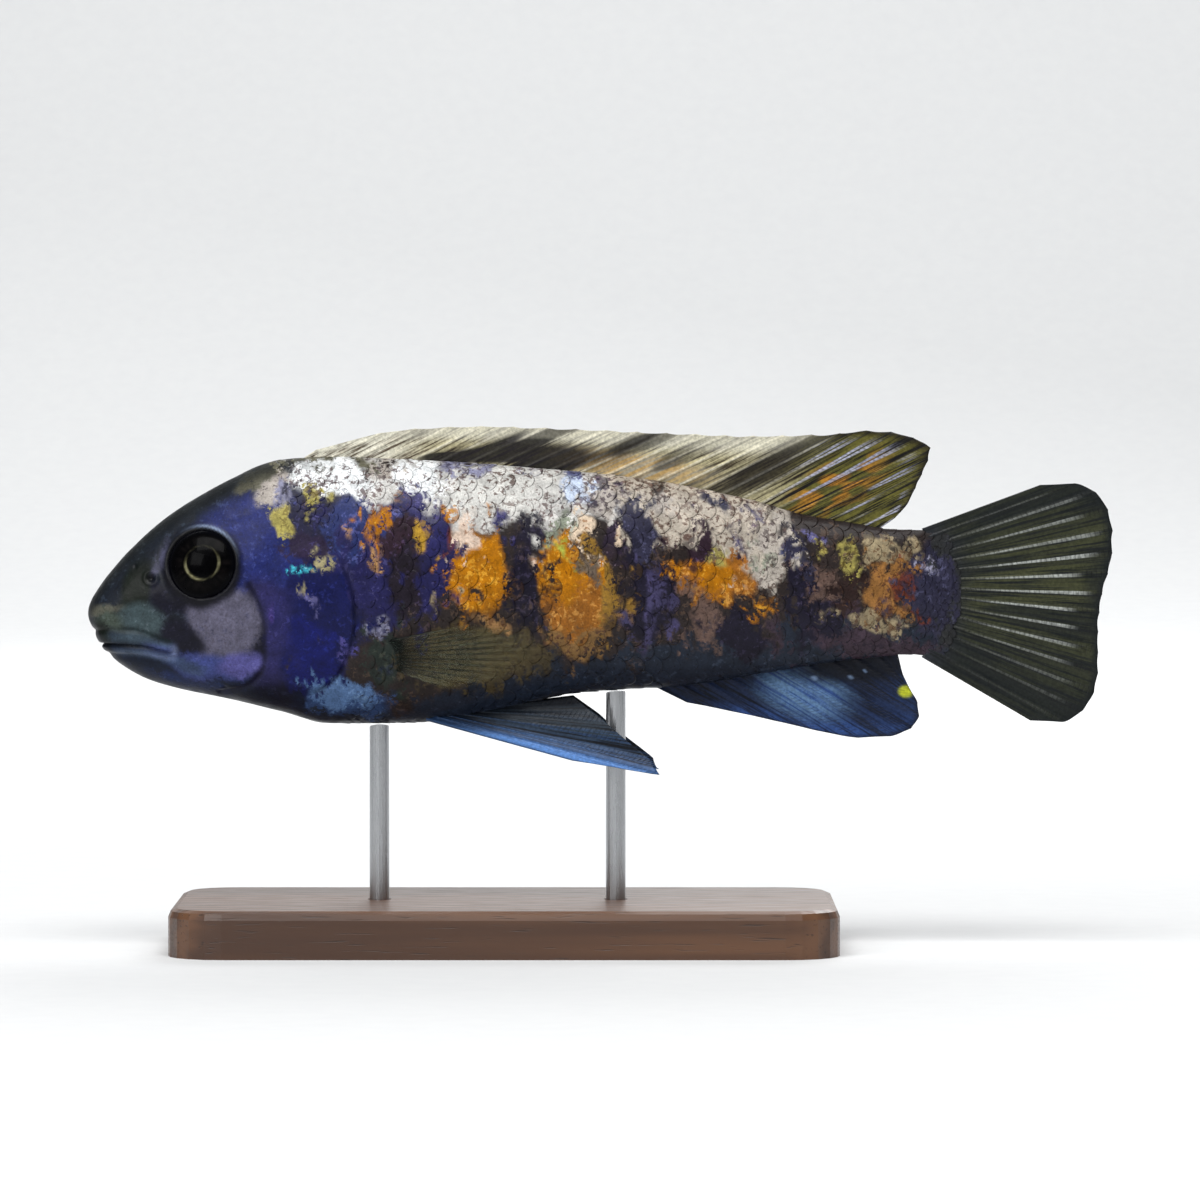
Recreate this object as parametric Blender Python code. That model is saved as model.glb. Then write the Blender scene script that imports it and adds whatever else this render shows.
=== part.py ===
"""Marbled rock cichlid, life size, swimming, held by a plain display stand.

Sizes on the fish are in millimetres: "along" runs back from the tip of the snout, "up" runs from
the level of the body's axis, and "out" runs sideways from its middle plane. The model itself is in
metres, +Z up, with the head towards -X and the fish's left side towards -Y. The origin is under the
middle of the whole model, at the level that the stand rests on.
"""

import math

import bmesh
import bpy
import numpy as np
from mathutils import Matrix, Vector

MM = 0.001

# Driving sizes of the fish and its stand
TOTAL_LENGTH = 130.0
AXIS_HEIGHT = 44.0
GAP = 0.3
BODY_END = 111.0
RING_POINTS = 28
UPPER_ROUNDNESS = 1.95
LOWER_ROUNDNESS = 2.2

LEFT, RIGHT = -1, 1

# Body outline from the side: (along, up) of the back, of the belly and of the widest level
BACK_KEYS = [
    (0.0, -1.7), (0.9, 0.9), (2.9, 3.7), (6.7, 7.9), (10.3, 10.9), (14.3, 13.4), (18.4, 15.6),
    (24.5, 17.9), (31.0, 18.3), (40.0, 18.0), (50.0, 17.4), (65.0, 16.2), (72.7, 15.2), (77.7, 14.3),
    (84.0, 12.8), (90.3, 11.2), (96.7, 9.9), (102.0, 9.1), (107.0, 9.0), (BODY_END, 9.2),
]
BELLY_KEYS = [
    (0.0, -1.7), (0.9, -4.1), (2.4, -6.6), (4.7, -8.6), (8.0, -10.3), (18.4, -12.7), (24.5, -14.2),
    (30.5, -15.8), (40.0, -15.7), (47.0, -15.2), (54.0, -13.7), (61.5, -11.9), (68.0, -11.4),
    (74.0, -11.1), (80.0, -10.4), (86.0, -9.4), (92.0, -8.3), (98.0, -7.5), (104.0, -7.1),
    (BODY_END, -7.5),
]
LEVEL_KEYS = [(0.0, -1.7), (6.0, -1.8), (15.0, -1.0), (30.0, 0.0), (45.0, 0.8), (60.0, 1.8),
              (80.0, 1.8), (100.0, 1.0), (BODY_END, 0.9)]

# Half of the body's width, seen from above: (along, out)
WIDTH_KEYS = [
    (0.0, 0.0), (1.0, 2.8), (2.5, 3.9), (5.0, 4.8), (8.0, 5.5), (12.0, 6.3), (16.0, 7.0),
    (22.0, 7.9), (28.0, 8.4), (34.0, 8.6), (42.0, 8.5), (50.0, 8.1), (58.0, 7.5), (66.0, 6.7),
    (74.0, 5.7), (82.0, 4.6), (90.0, 3.5), (98.0, 2.6), (104.0, 1.95), (BODY_END, 1.1),
]

# Mouth: the line between the lips from its front to its corner, and the lips' rolls beside it
MOUTH_FRONT = (-4.0, -5.6)
MOUTH_LINE = [(1.9, -5.6), (7.2, -5.7), (10.8, -6.6)]
JAW_BACK = [(12.8, -9.0), (13.4, -15.0)]
UPPER_LIP_RADIUS, LOWER_LIP_RADIUS = 1.0, 0.8
LIP_PROUD, LIP_CLOSES, LIP_TAPER, LIP_RINGS = 0.35, 0.75, 0.6, 9

NOSTRIL_AT, NOSTRIL_RADIUS = (8.3, 3.0), 0.5

EYE_AT, EYE_RADIUS, EYE_DEPTH, EYE_SUNK = (14.8, 4.75), 4.6, 2.3, 1.0

# Gill cover: its outline from the side, and how it lies in the body
GILL_OUTLINE = [
    (23.2, 4.6), (26.0, 7.4), (29.2, 7.7), (31.9, 5.8), (33.6, 2.2), (34.2, -1.8), (33.6, -5.8),
    (32.0, -9.2), (29.2, -11.4), (25.7, -12.0), (23.2, -10.8), (22.6, -6.0), (22.7, 0.0),
]
GILL_PROUD, GILL_INNER, GILL_FLOOR = 0.45, -0.7, -1.0
GILL_NEAR, GILL_FAR = 2.0, 12.0

NECK_CUT = [(31.5, 26.0), (26.0, -24.0)]
TAIL_CUT = [(97.0, 20.0), (97.0, -20.0)]
CUT_REACH = 15.0
TAIL_CUTTER_HALF_HEIGHT, TAIL_CUTTER_HALF_WIDTH, TAIL_CUTTER_PAST_END = 20.0, 8.0, 5.0

# Fins: thickness of the membrane, and how much a ray stands out of it on both faces together
MEMBRANE, RAY_RIDGE = 0.5, 0.36
RIDGE_FADES, MARGIN_SHARE, SPINE_NOTCH = 0.35, 0.7, 2.2
FIN_SHARES = (0.0, 0.12, 0.38, 0.7, 1.0)
FIN_SUNK = 1.0

# How far the margin is cut back between rays, as a share of a ray's length
DORSAL_SCALLOP, ANAL_SCALLOP, CAUDAL_SCALLOP, PAIRED_SCALLOP = 0.015, 0.015, 0.01, 0.015

DORSAL_SPINES, DORSAL_RAYS = 17, 26
DORSAL_ROOT_KEYS = [(0, 26.0), (16, 79.5), (25, 99.5)]
DORSAL_TIP_KEYS = [
    (0, 29.0, 19.05), (1, 37.3, 21.2), (2, 41.6, 21.75), (4, 50.0, 22.05), (7, 62.0, 21.7),
    (10, 73.5, 21.2), (13, 84.5, 20.85), (16, 95.4, 21.15), (17, 98.8, 21.5), (18, 101.9, 21.35),
    (19, 104.7, 20.6), (20, 106.9, 19.3), (21, 106.6, 17.7), (22, 105.8, 15.9), (23, 105.0, 14.2),
    (24, 104.0, 12.2), (25, 102.4, 10.4),
]

ANAL_SPINES, ANAL_RAYS = 3, 11
ANAL_ROOT_KEYS = [(0, 70.5), (3, 80.5), (10, 102.6)]
ANAL_TIP_KEYS = [
    (0, 76.0, -13.0), (1, 81.5, -14.1), (2, 87.0, -15.3), (3, 92.6, -16.6), (4, 97.8, -17.5),
    (5, 101.9, -17.3), (6, 104.5, -16.3), (7, 105.5, -14.7), (8, 105.3, -13.0), (9, 104.4, -11.4),
    (10, 103.4, -9.4),
]

CAUDAL_RAYS = 16
TAIL_ARC_BACK, TAIL_ARC_BULGE, TAIL_ARC_LEVEL, TAIL_ARC_HALF = 107.0, 3.0, 0.9, 8.4
CAUDAL_TIP_KEYS = [
    (0, 120.8, 14.6), (1, 125.2, 14.8), (2, 127.8, 13.7), (3, 129.4, 11.5), (4, 130.0, 8.8),
    (5, 129.95, 6.0), (6, 129.4, 3.3), (7, 128.7, 0.8), (9, 128.2, -4.0), (11, 128.2, -9.2),
    (12, 127.7, -11.7), (13, 126.3, -14.0), (14, 123.7, -15.5), (15, 119.6, -15.3),
]

PECTORAL_RAYS = 13
PECTORAL_ROOT = [(38.0, -4.9), (39.2, -8.6)]
PECTORAL_TIP_KEYS = [
    (0, 49.0, -2.6), (2, 54.0, -3.0), (4, 57.0, -4.4), (6, 57.4, -6.2), (8, 55.6, -8.2),
    (10, 51.8, -9.9), (12, 45.6, -10.9),
]
PECTORAL_LIFT_KEYS = [(0.0, -1.2), (0.12, 0.9), (0.4, 1.7), (1.0, 2.8)]

PELVIC_RAYS = 6
PELVIC_ROOT = [(43.0, -15.0, 3.0), (48.5, -13.8, 1.6)]
PELVIC_TIP_KEYS = [
    (0, 61.5, -20.0, 5.6), (1, 72.5, -21.8, 6.0), (2, 71.8, -20.4, 5.2), (3, 68.0, -17.3, 4.3),
    (4, 65.0, -14.7, 3.2), (5, 61.6, -12.2, 2.0),
]

# Display stand
BASE_LENGTH, BASE_WIDTH, BASE_THICKNESS, BASE_CORNER, BASE_EDGE = 84.0, 42.0, 6.0, 7.0, 1.1
BASE_MIDDLE, BASE_CORNER_STEPS = 53.0, 5
ROD_RADIUS, ROD_SIDES, ROD_SOCKET = 1.25, 20, 4.0
ROD_FRONT_AT, ROD_REAR_AT = 37.0, 67.0


def through(keys, power=1.0):
    """A smooth curve through (x, y) keys that never overshoots them. Power 0.5 rounds it at x = 0."""
    xs = np.array([key[0] for key in keys], float) ** power
    ys = np.array([key[1] for key in keys], float)
    steps = np.diff(xs)
    slopes = np.diff(ys) / steps
    tangents = np.concatenate([slopes[:1], np.zeros(len(keys) - 2), slopes[-1:]])
    for i in range(1, len(keys) - 1):
        if slopes[i - 1] * slopes[i] > 0:
            before, after = 2 * steps[i] + steps[i - 1], steps[i] + 2 * steps[i - 1]
            tangents[i] = (before + after) / (before / slopes[i - 1] + after / slopes[i])

    def value(x):
        x = min(max(x, 0.0) ** power, xs[-1])
        i = int(np.clip(np.searchsorted(xs, x) - 1, 0, len(steps) - 1))
        t = (x - xs[i]) / steps[i]
        return float(
            ys[i] * (1 + 2 * t) * (1 - t) ** 2
            + tangents[i] * steps[i] * t * (1 - t) ** 2
            + ys[i + 1] * t * t * (3 - 2 * t)
            + tangents[i + 1] * steps[i] * t * t * (t - 1)
        )

    return value


BACK = through(BACK_KEYS, 0.5)
BELLY = through(BELLY_KEYS, 0.5)
LEVEL = through(LEVEL_KEYS, 0.5)
WIDTH = through(WIDTH_KEYS, 0.5)


def place(along, out, up):
    """The point of the model, in metres, for a place on the fish in millimetres."""
    return Vector((along - TOTAL_LENGTH / 2, out, AXIS_HEIGHT + up)) * MM


def side_out(along, up):
    """How far the body's surface lies from the middle plane at a place seen from the side."""
    level = LEVEL(along)
    roundness = UPPER_ROUNDNESS if up > level else LOWER_ROUNDNESS
    reach = BACK(along) - level if up > level else level - BELLY(along)
    share = min(abs(up - level) / reach, 1.0)
    return WIDTH(along) * (1 - share**roundness) ** (1 / roundness)


def surface_normal(along, up):
    """The body's outward direction on the fish's right side, as (along, out, up)."""
    step = 0.2
    slope_along = (side_out(along + step, up) - side_out(along - step, up)) / (2 * step)
    slope_up = (side_out(along, up + step) - side_out(along, up - step)) / (2 * step)
    return Vector((-slope_along, 1.0, -slope_up)).normalized()


def section(along, grow):
    """One ring of the body, with every half size grown by the same amount."""
    level, width = LEVEL(along), WIDTH(along) + grow
    above, below = BACK(along) - level + grow, level - BELLY(along) + grow
    ring = []
    for i in range(RING_POINTS):
        angle = 2 * math.pi * i / RING_POINTS
        cosine, sine = math.cos(angle), math.sin(angle)
        roundness = UPPER_ROUNDNESS if sine > 0 else LOWER_ROUNDNESS
        out = math.copysign(abs(cosine) ** (2 / roundness), cosine) * width
        up = math.copysign(abs(sine) ** (2 / roundness), sine) * (above if sine > 0 else below)
        ring.append((along, out, level + up))
    return ring


def stations():
    """Places along the body where it has a ring: close together round the blunt snout."""
    snout_end, snout_rings, trunk_rings = 12.0, 10, 42
    snout = [snout_end * (i / snout_rings) ** 2 for i in range(1, snout_rings)]
    return snout + list(np.linspace(snout_end, BODY_END, trunk_rings))


def new_object(name, mesh):
    made = bpy.data.objects.new(name, mesh)
    bpy.context.scene.collection.objects.link(made)
    return made


def body_loft(name, grow=lambda along: 0.0):
    """The whole body from snout to tail as one closed skin, grown by so many millimetres."""
    points = [place(-grow(0.0), 0.0, LEVEL(0.0))]
    faces = []
    for along in stations():
        points += [place(*point) for point in section(along, grow(along))]
    for i in range(RING_POINTS):
        after = (i + 1) % RING_POINTS
        faces.append((0, 1 + after, 1 + i))
    rings = (len(points) - 1) // RING_POINTS
    for ring in range(rings - 1):
        first = 1 + ring * RING_POINTS
        for i in range(RING_POINTS):
            after = (i + 1) % RING_POINTS
            ahead, behind = first + i, first + RING_POINTS + i
            faces.append((ahead, first + after, first + RING_POINTS + after, behind))
    last = 1 + (rings - 1) * RING_POINTS
    faces.append(tuple(last + i for i in range(RING_POINTS)))
    mesh = bpy.data.meshes.new(name)
    mesh.from_pydata(points, [], faces)
    made = new_object(name, mesh)
    point_outwards(made)
    return made


def point_outwards(target):
    mesh = bmesh.new()
    mesh.from_mesh(target.data)
    bmesh.ops.recalc_face_normals(mesh, faces=mesh.faces)
    mesh.to_mesh(target.data)
    mesh.free()


def mesh_of_curve(curve):
    """Turns a curve object into a closed mesh object of the same name."""
    graph = bpy.context.evaluated_depsgraph_get()
    graph.update()
    name = curve.name
    curve.name = name + "_curve"
    made = new_object(name, bpy.data.meshes.new_from_object(curve.evaluated_get(graph)))
    made.matrix_world = curve.matrix_world.copy()
    bpy.data.objects.remove(curve)
    mesh = bmesh.new()
    mesh.from_mesh(made.data)
    bmesh.ops.remove_doubles(mesh, verts=mesh.verts, dist=0.001 * MM)
    bmesh.ops.recalc_face_normals(mesh, faces=mesh.faces)
    mesh.to_mesh(made.data)
    mesh.free()
    return made


def prism(name, outline, near, far, rounded=False):
    """A flat side-view outline made solid between two distances out from the middle plane."""
    data = bpy.data.curves.new(name, "CURVE")
    data.dimensions = "2D"
    data.fill_mode = "BOTH"
    data.extrude = abs(far - near) / 2 * MM
    data.resolution_u = 3
    spline = data.splines.new("BEZIER" if rounded else "POLY")
    if rounded:
        spline.bezier_points.add(len(outline) - 1)
        for point, (along, up) in zip(spline.bezier_points, outline):
            point.co = (along * MM, up * MM, 0)
            point.handle_left_type = point.handle_right_type = "AUTO"
    else:
        spline.points.add(len(outline) - 1)
        for point, (along, up) in zip(spline.points, outline):
            point.co = (along * MM, up * MM, 0, 1)
    spline.use_cyclic_u = True
    curve = new_object(name, data)
    curve.rotation_euler = (math.pi / 2, 0, 0)
    curve.location = place(0, (near + far) / 2, 0)
    bpy.context.view_layer.update()
    return mesh_of_curve(curve)


def thin_cut(name, line):
    """A wall as thick as the gap, standing on a side-view line and reaching through the body."""
    points = [Vector(point) for point in line]
    ways = [(after - before).normalized() for before, after in zip(points, points[1:])]
    one_side, other_side = [], []
    for i, point in enumerate(points):
        before, after = ways[max(i - 1, 0)], ways[min(i, len(ways) - 1)]
        across = Vector((-(before + after).y, (before + after).x)).normalized()
        across *= GAP / 2 / max(across.dot(Vector((-before.y, before.x))), 0.5)
        one_side.append(point + across)
        other_side.append(point - across)
    outline = [tuple(point) for point in one_side + other_side[::-1]]
    return prism(name, outline, -CUT_REACH, CUT_REACH)


def combine(target, other, operation, solver="EXACT"):
    """Joins, cuts or keeps what two closed meshes share. The result is target, and other goes."""
    modifier = target.modifiers.new("combine", "BOOLEAN")
    modifier.operation = operation
    modifier.solver = solver
    modifier.object = other
    with bpy.context.temp_override(object=target, active_object=target):
        bpy.ops.object.modifier_apply(modifier=modifier.name)
    bpy.data.objects.remove(other)
    return target


def loose_parts(target):
    """Splits a mesh object into one object for each closed surface, largest first."""
    for other in bpy.context.selected_objects:
        other.select_set(False)
    target.select_set(True)
    bpy.context.view_layer.objects.active = target
    bpy.ops.mesh.separate(type="LOOSE")
    parts = list(bpy.context.selected_objects)
    return sorted(parts, key=lambda part: -volume_of(part))


def volume_of(target):
    mesh = bmesh.new()
    mesh.from_mesh(target.data)
    volume = mesh.calc_volume()
    mesh.free()
    return volume


def keep_largest(target):
    name = target.name
    parts = loose_parts(target)
    for scrap in parts[1:]:
        bpy.data.objects.remove(scrap)
    parts[0].name = name
    return parts[0]


def parted(target, wall):
    """Cuts a body in two with a thin wall and gives the front piece, then the rear one."""
    pieces = loose_parts(combine(target, wall, "DIFFERENCE"))
    for scrap in pieces[2:]:
        bpy.data.objects.remove(scrap)
    return sorted(pieces[:2], key=lambda piece: np.mean([v.co.x for v in piece.data.vertices]))


def lip(name, offset, radius):
    """One lip: a roll that follows the mouth line from one corner round the front to the other."""
    corner_along, corner_up = MOUTH_LINE[-1]
    line = through([(0.0, MOUTH_LINE[0][1]), *MOUTH_LINE[1:]])
    front = next(a for a in np.arange(0.3, 6.0, 0.02) if BELLY(a) < line(a) + offset)
    ahead = 0.1
    half = []
    for i in range(1, LIP_RINGS + 1):
        share = i / LIP_RINGS
        along = front + (corner_along - front) * share**2
        up = line(along) + offset * (1 - LIP_CLOSES * share**4)
        size = radius * (1 - LIP_TAPER * share**3)
        out = side_out(along, up)
        inward = Vector((side_out(along + ahead, up) - out, -ahead)).normalized()
        inward *= size - LIP_PROUD * min(2 * share, 1.0)
        half.append((along + inward.x, max(out + inward.y, 0.1), up, size))
    middle = [(front + radius, 0.0, line(front) + offset, radius)]
    path = [(a, -o, u, r) for a, o, u, r in half[::-1]] + middle + half
    data = bpy.data.curves.new(name, "CURVE")
    data.dimensions = "3D"
    data.bevel_depth = MM
    data.bevel_resolution = 2
    data.use_fill_caps = True
    spline = data.splines.new("POLY")
    spline.points.add(len(path) - 1)
    for point, (along, out, up, size) in zip(spline.points, path):
        point.co = (*place(along, out, up), 1)
        point.radius = size
    return mesh_of_curve(new_object(name, data))


def ellipsoid(name, centre, outward, radius, depth, segments=24, rings=12):
    """A ball flattened along one direction."""
    mesh = bmesh.new()
    bmesh.ops.create_uvsphere(mesh, u_segments=segments, v_segments=rings, radius=1.0)
    scale = Matrix.Diagonal((radius * MM, radius * MM, depth * MM, 1))
    turn = outward.to_track_quat("Z", "Y").to_matrix().to_4x4()
    bmesh.ops.transform(mesh, matrix=Matrix.Translation(centre) @ turn @ scale, verts=mesh.verts)
    data = bpy.data.meshes.new(name)
    mesh.to_mesh(data)
    mesh.free()
    return new_object(name, data)


def on_surface(spot, side, sunk):
    """The place on one side of the body at a side-view spot, sunk below the skin, and its normal."""
    normal = surface_normal(*spot)
    at = Vector((spot[0], side_out(*spot), spot[1])) - normal * sunk
    normal.y *= side
    return place(at.x, at.y * side, at.z), normal


def eye(side, name, grow=0.0):
    centre, outward = on_surface(EYE_AT, side, EYE_SUNK)
    return ellipsoid(name, centre, outward, EYE_RADIUS + grow, EYE_DEPTH + grow, 20, 10)


def nostril(side, name):
    centre, outward = on_surface(NOSTRIL_AT, side, 0.0)
    return ellipsoid(name, centre, outward, NOSTRIL_RADIUS, 2 * NOSTRIL_RADIUS, 10, 6)


def grown_outline(outline, grow):
    """A side-view outline made larger about its middle by the same width on every side."""
    lows, highs = np.min(outline, axis=0), np.max(outline, axis=0)
    middle = (lows + highs) / 2
    scale = 1 + 2 * grow / (highs - lows)
    return [tuple(middle + (np.array(point) - middle) * scale) for point in outline]


def gill_cover(side, name):
    """The bony flap behind the cheek, flush in front and standing free at its rear edge."""
    start, stop = GILL_OUTLINE[0][0], GILL_OUTLINE[5][0]

    def proud(along):
        return GILL_PROUD * min(max((along - start) / (stop - start), 0.0), 1.0)

    cover = prism(name, GILL_OUTLINE, side * GILL_NEAR, side * GILL_FAR, rounded=True)
    combine(cover, body_loft("outside", proud), "INTERSECT")
    combine(cover, body_loft("inside", lambda along: GILL_INNER), "DIFFERENCE")
    return keep_largest(cover)


def gill_recess(side):
    """What is cut from the body so that the gill cover lies in it."""
    outline = grown_outline(GILL_OUTLINE, GAP)
    recess = prism("recess", outline, side * GILL_NEAR, side * GILL_FAR, rounded=True)
    combine(recess, body_loft("floor", lambda along: GILL_FLOOR), "DIFFERENCE")
    return keep_largest(recess)


def tail_arc():
    """The rounded end of the tail stem, where the tail fin's rays begin, as side-view points."""
    turns = np.linspace(1, -1, 13)
    return [
        (TAIL_ARC_BACK + TAIL_ARC_BULGE * (1 - t * t), TAIL_ARC_LEVEL + TAIL_ARC_HALF * t)
        for t in turns
    ]


def tail_end_cutter():
    """Takes off the body behind the rounded end of the tail stem."""
    arc = tail_arc()
    far, high = BODY_END + TAIL_CUTTER_PAST_END, TAIL_CUTTER_HALF_HEIGHT
    outline = [(arc[0][0], high), *arc, (arc[-1][0], -high), (far, -high), (far, high)]
    return prism("tail_end", outline, -TAIL_CUTTER_HALF_WIDTH, TAIL_CUTTER_HALF_WIDTH)


def fleshy_body():
    """Head, lower jaw, trunk and tail stem: modelled whole, then parted with thin cuts."""
    body = body_loft("body")
    lips = bpy.data.collections.new("lips")
    bpy.context.scene.collection.children.link(lips)
    rolls = [
        lip("upper_lip", UPPER_LIP_RADIUS, UPPER_LIP_RADIUS),
        lip("lower_lip", -LOWER_LIP_RADIUS, LOWER_LIP_RADIUS),
    ]
    for roll in rolls:
        lips.objects.link(roll)
    modifier = body.modifiers.new("lips", "BOOLEAN")
    modifier.operation = "UNION"
    modifier.solver = "EXACT"
    modifier.operand_type = "COLLECTION"
    modifier.collection = lips
    with bpy.context.temp_override(object=body, active_object=body):
        bpy.ops.object.modifier_apply(modifier=modifier.name)
    for roll in rolls:
        bpy.data.objects.remove(roll)
    bpy.data.collections.remove(lips)

    for side in (LEFT, RIGHT):
        combine(body, gill_recess(side), "DIFFERENCE")
        combine(body, eye(side, "socket", GAP), "DIFFERENCE")
        combine(body, nostril(side, "nostril"), "DIFFERENCE")
    combine(body, tail_end_cutter(), "DIFFERENCE")
    jaw, rest = parted(body, thin_cut("mouth", [MOUTH_FRONT, *MOUTH_LINE, *JAW_BACK]))
    head, rest = parted(rest, thin_cut("neck", NECK_CUT))
    trunk, tail_stem = parted(rest, thin_cut("tail", TAIL_CUT))
    jaw.name, head.name = "fish_lower_jaw", "fish_head"
    trunk.name, tail_stem.name = "fish_trunk", "fish_tail_stem"
    return jaw, head, trunk, tail_stem


def keyed(keys, column):
    return through([(key[0], key[column]) for key in keys])


def straight(root, tip):
    """The path of each ray as a straight line: root and tip give (along, out, up) by ray number."""
    return lambda number, share: Vector(root(number)).lerp(Vector(tip(number)), share)


def fin(name, rays, path, scallop, spines=0):
    """A fin as a thin grid of rays and membrane, closed all round.

    path(number, share) gives the (along, out, up) at a share of the length of the ray with that
    number, which may fall between two rays. The ridges are raised in both faces, which are split
    into triangles alike. Between spines the margin is cut back further than between soft rays.
    """
    numbers = [i / 2 for i in range(2 * (rays - 1) + 1)]
    grid, halves = [], []
    for number in numbers:
        on_ray = number == int(number)
        notch = scallop * (SPINE_NOTCH if number < spines else 1.0)
        reach = 1.0 if on_ray else 1.0 - notch
        grid.append([Vector(path(number, share * reach)) for share in FIN_SHARES])
        ridge = RAY_RIDGE if on_ray else 0.0
        halves.append([
            (MEMBRANE + ridge * (1 - RIDGE_FADES * share)) / 2 * (1 - (1 - MARGIN_SHARE) * share**3)
            for share in FIN_SHARES
        ])
    columns, rows = len(grid), len(FIN_SHARES)
    front, back = [], []
    for i, column in enumerate(grid):
        before, after = grid[max(i - 1, 0)], grid[min(i + 1, columns - 1)]
        for j, point in enumerate(column):
            lower, higher = column[max(j - 1, 0)], column[min(j + 1, rows - 1)]
            across = (after[j] - before[j]).cross(higher - lower).normalized()
            front.append(place(*(point + across * halves[i][j])))
            back.append(place(*(point - across * halves[i][j])))

    def at(i, j):
        return i * rows + j

    shift = columns * rows
    faces = []
    for i in range(columns - 1):
        for j in range(rows - 1):
            a, b, c, d = at(i, j), at(i + 1, j), at(i + 1, j + 1), at(i, j + 1)
            faces += [(a, b, c), (a, c, d)]
            faces += [(shift + c, shift + b, shift + a), (shift + d, shift + c, shift + a)]
    rim = [at(i, 0) for i in range(columns)]
    rim += [at(columns - 1, j) for j in range(1, rows)]
    rim += [at(i, rows - 1) for i in range(columns - 2, -1, -1)]
    rim += [at(0, j) for j in range(rows - 2, 0, -1)]
    for one, two in zip(rim, rim[1:] + rim[:1]):
        faces += [(one, shift + one, shift + two), (one, shift + two, two)]
    mesh = bpy.data.meshes.new(name)
    mesh.from_pydata(front + back, [], faces)
    made = new_object(name, mesh)
    point_outwards(made)
    return made


def rooted(target):
    """Cuts a piece that starts inside the body back to its skin, less the gap."""
    combine(target, body_loft("skin", lambda along: GAP), "DIFFERENCE", "MANIFOLD")
    return keep_largest(target)


def dorsal_fin():
    root_along = keyed(DORSAL_ROOT_KEYS, 1)
    tip_along, tip_up = keyed(DORSAL_TIP_KEYS, 1), keyed(DORSAL_TIP_KEYS, 2)
    path = straight(
        lambda number: (root_along(number), 0.0, BACK(root_along(number)) - FIN_SUNK),
        lambda number: (tip_along(number), 0.0, tip_up(number)),
    )
    return rooted(fin("fish_dorsal_fin", DORSAL_RAYS, path, DORSAL_SCALLOP, DORSAL_SPINES - 1))


def anal_fin():
    root_along = keyed(ANAL_ROOT_KEYS, 1)
    tip_along, tip_up = keyed(ANAL_TIP_KEYS, 1), keyed(ANAL_TIP_KEYS, 2)
    path = straight(
        lambda number: (root_along(number), 0.0, BELLY(root_along(number)) + FIN_SUNK),
        lambda number: (tip_along(number), 0.0, tip_up(number)),
    )
    return rooted(fin("fish_anal_fin", ANAL_RAYS, path, ANAL_SCALLOP, ANAL_SPINES))


def caudal_fin():
    """The tail fin. Its root follows the round end of the tail stem, so it isn't cut."""
    tip_along, tip_up = keyed(CAUDAL_TIP_KEYS, 1), keyed(CAUDAL_TIP_KEYS, 2)

    def root(number):
        turn = 1 - 2 * number / (CAUDAL_RAYS - 1)
        along = TAIL_ARC_BACK + TAIL_ARC_BULGE * (1 - turn * turn) + GAP
        return (along, 0.0, TAIL_ARC_LEVEL + TAIL_ARC_HALF * turn)

    path = straight(root, lambda number: (tip_along(number), 0.0, tip_up(number)))
    return fin("fish_tail_fin", CAUDAL_RAYS, path, CAUDAL_SCALLOP)


def pectoral_fin(side, name):
    """A paddle that rises out of the flank at its root and then trails close beside it."""
    tip_along, tip_up = keyed(PECTORAL_TIP_KEYS, 1), keyed(PECTORAL_TIP_KEYS, 2)
    top, bottom = Vector(PECTORAL_ROOT[0]), Vector(PECTORAL_ROOT[1])
    lift = through(PECTORAL_LIFT_KEYS)

    def path(number, share):
        root = top.lerp(bottom, number / (PECTORAL_RAYS - 1))
        spot = root.lerp(Vector((tip_along(number), tip_up(number))), share)
        return (spot.x, side * (side_out(*spot) + lift(share)), spot.y)

    return rooted(fin(name, PECTORAL_RAYS, path, PAIRED_SCALLOP))


def pelvic_fin(side, name):
    tip_along, tip_up, tip_out = (keyed(PELVIC_TIP_KEYS, column) for column in (1, 2, 3))
    front, rear = Vector(PELVIC_ROOT[0]), Vector(PELVIC_ROOT[1])

    def root(number):
        along, up, out = front.lerp(rear, number / (PELVIC_RAYS - 1))
        return (along, side * out, up)

    path = straight(
        root, lambda number: (tip_along(number), side * tip_out(number), tip_up(number))
    )
    return rooted(fin(name, PELVIC_RAYS, path, PAIRED_SCALLOP))


def cylinder(name, along, radius, low, high):
    """An upright round bar in the middle plane, between two heights above the ground."""
    mesh = bmesh.new()
    middle = place(along, 0.0, (low + high) / 2 - AXIS_HEIGHT)
    bmesh.ops.create_cone(
        mesh, cap_ends=True, segments=ROD_SIDES, radius1=radius * MM, radius2=radius * MM,
        depth=(high - low) * MM, matrix=Matrix.Translation(middle),
    )
    data = bpy.data.meshes.new(name)
    mesh.to_mesh(data)
    mesh.free()
    made = new_object(name, data)
    made.data.set_sharp_from_angle(angle=math.radians(40))
    return made


def stand_rod(name, along):
    low = BASE_THICKNESS - ROD_SOCKET + GAP
    rod = cylinder(name, along, ROD_RADIUS, low, AXIS_HEIGHT)
    return rooted(rod)


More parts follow.
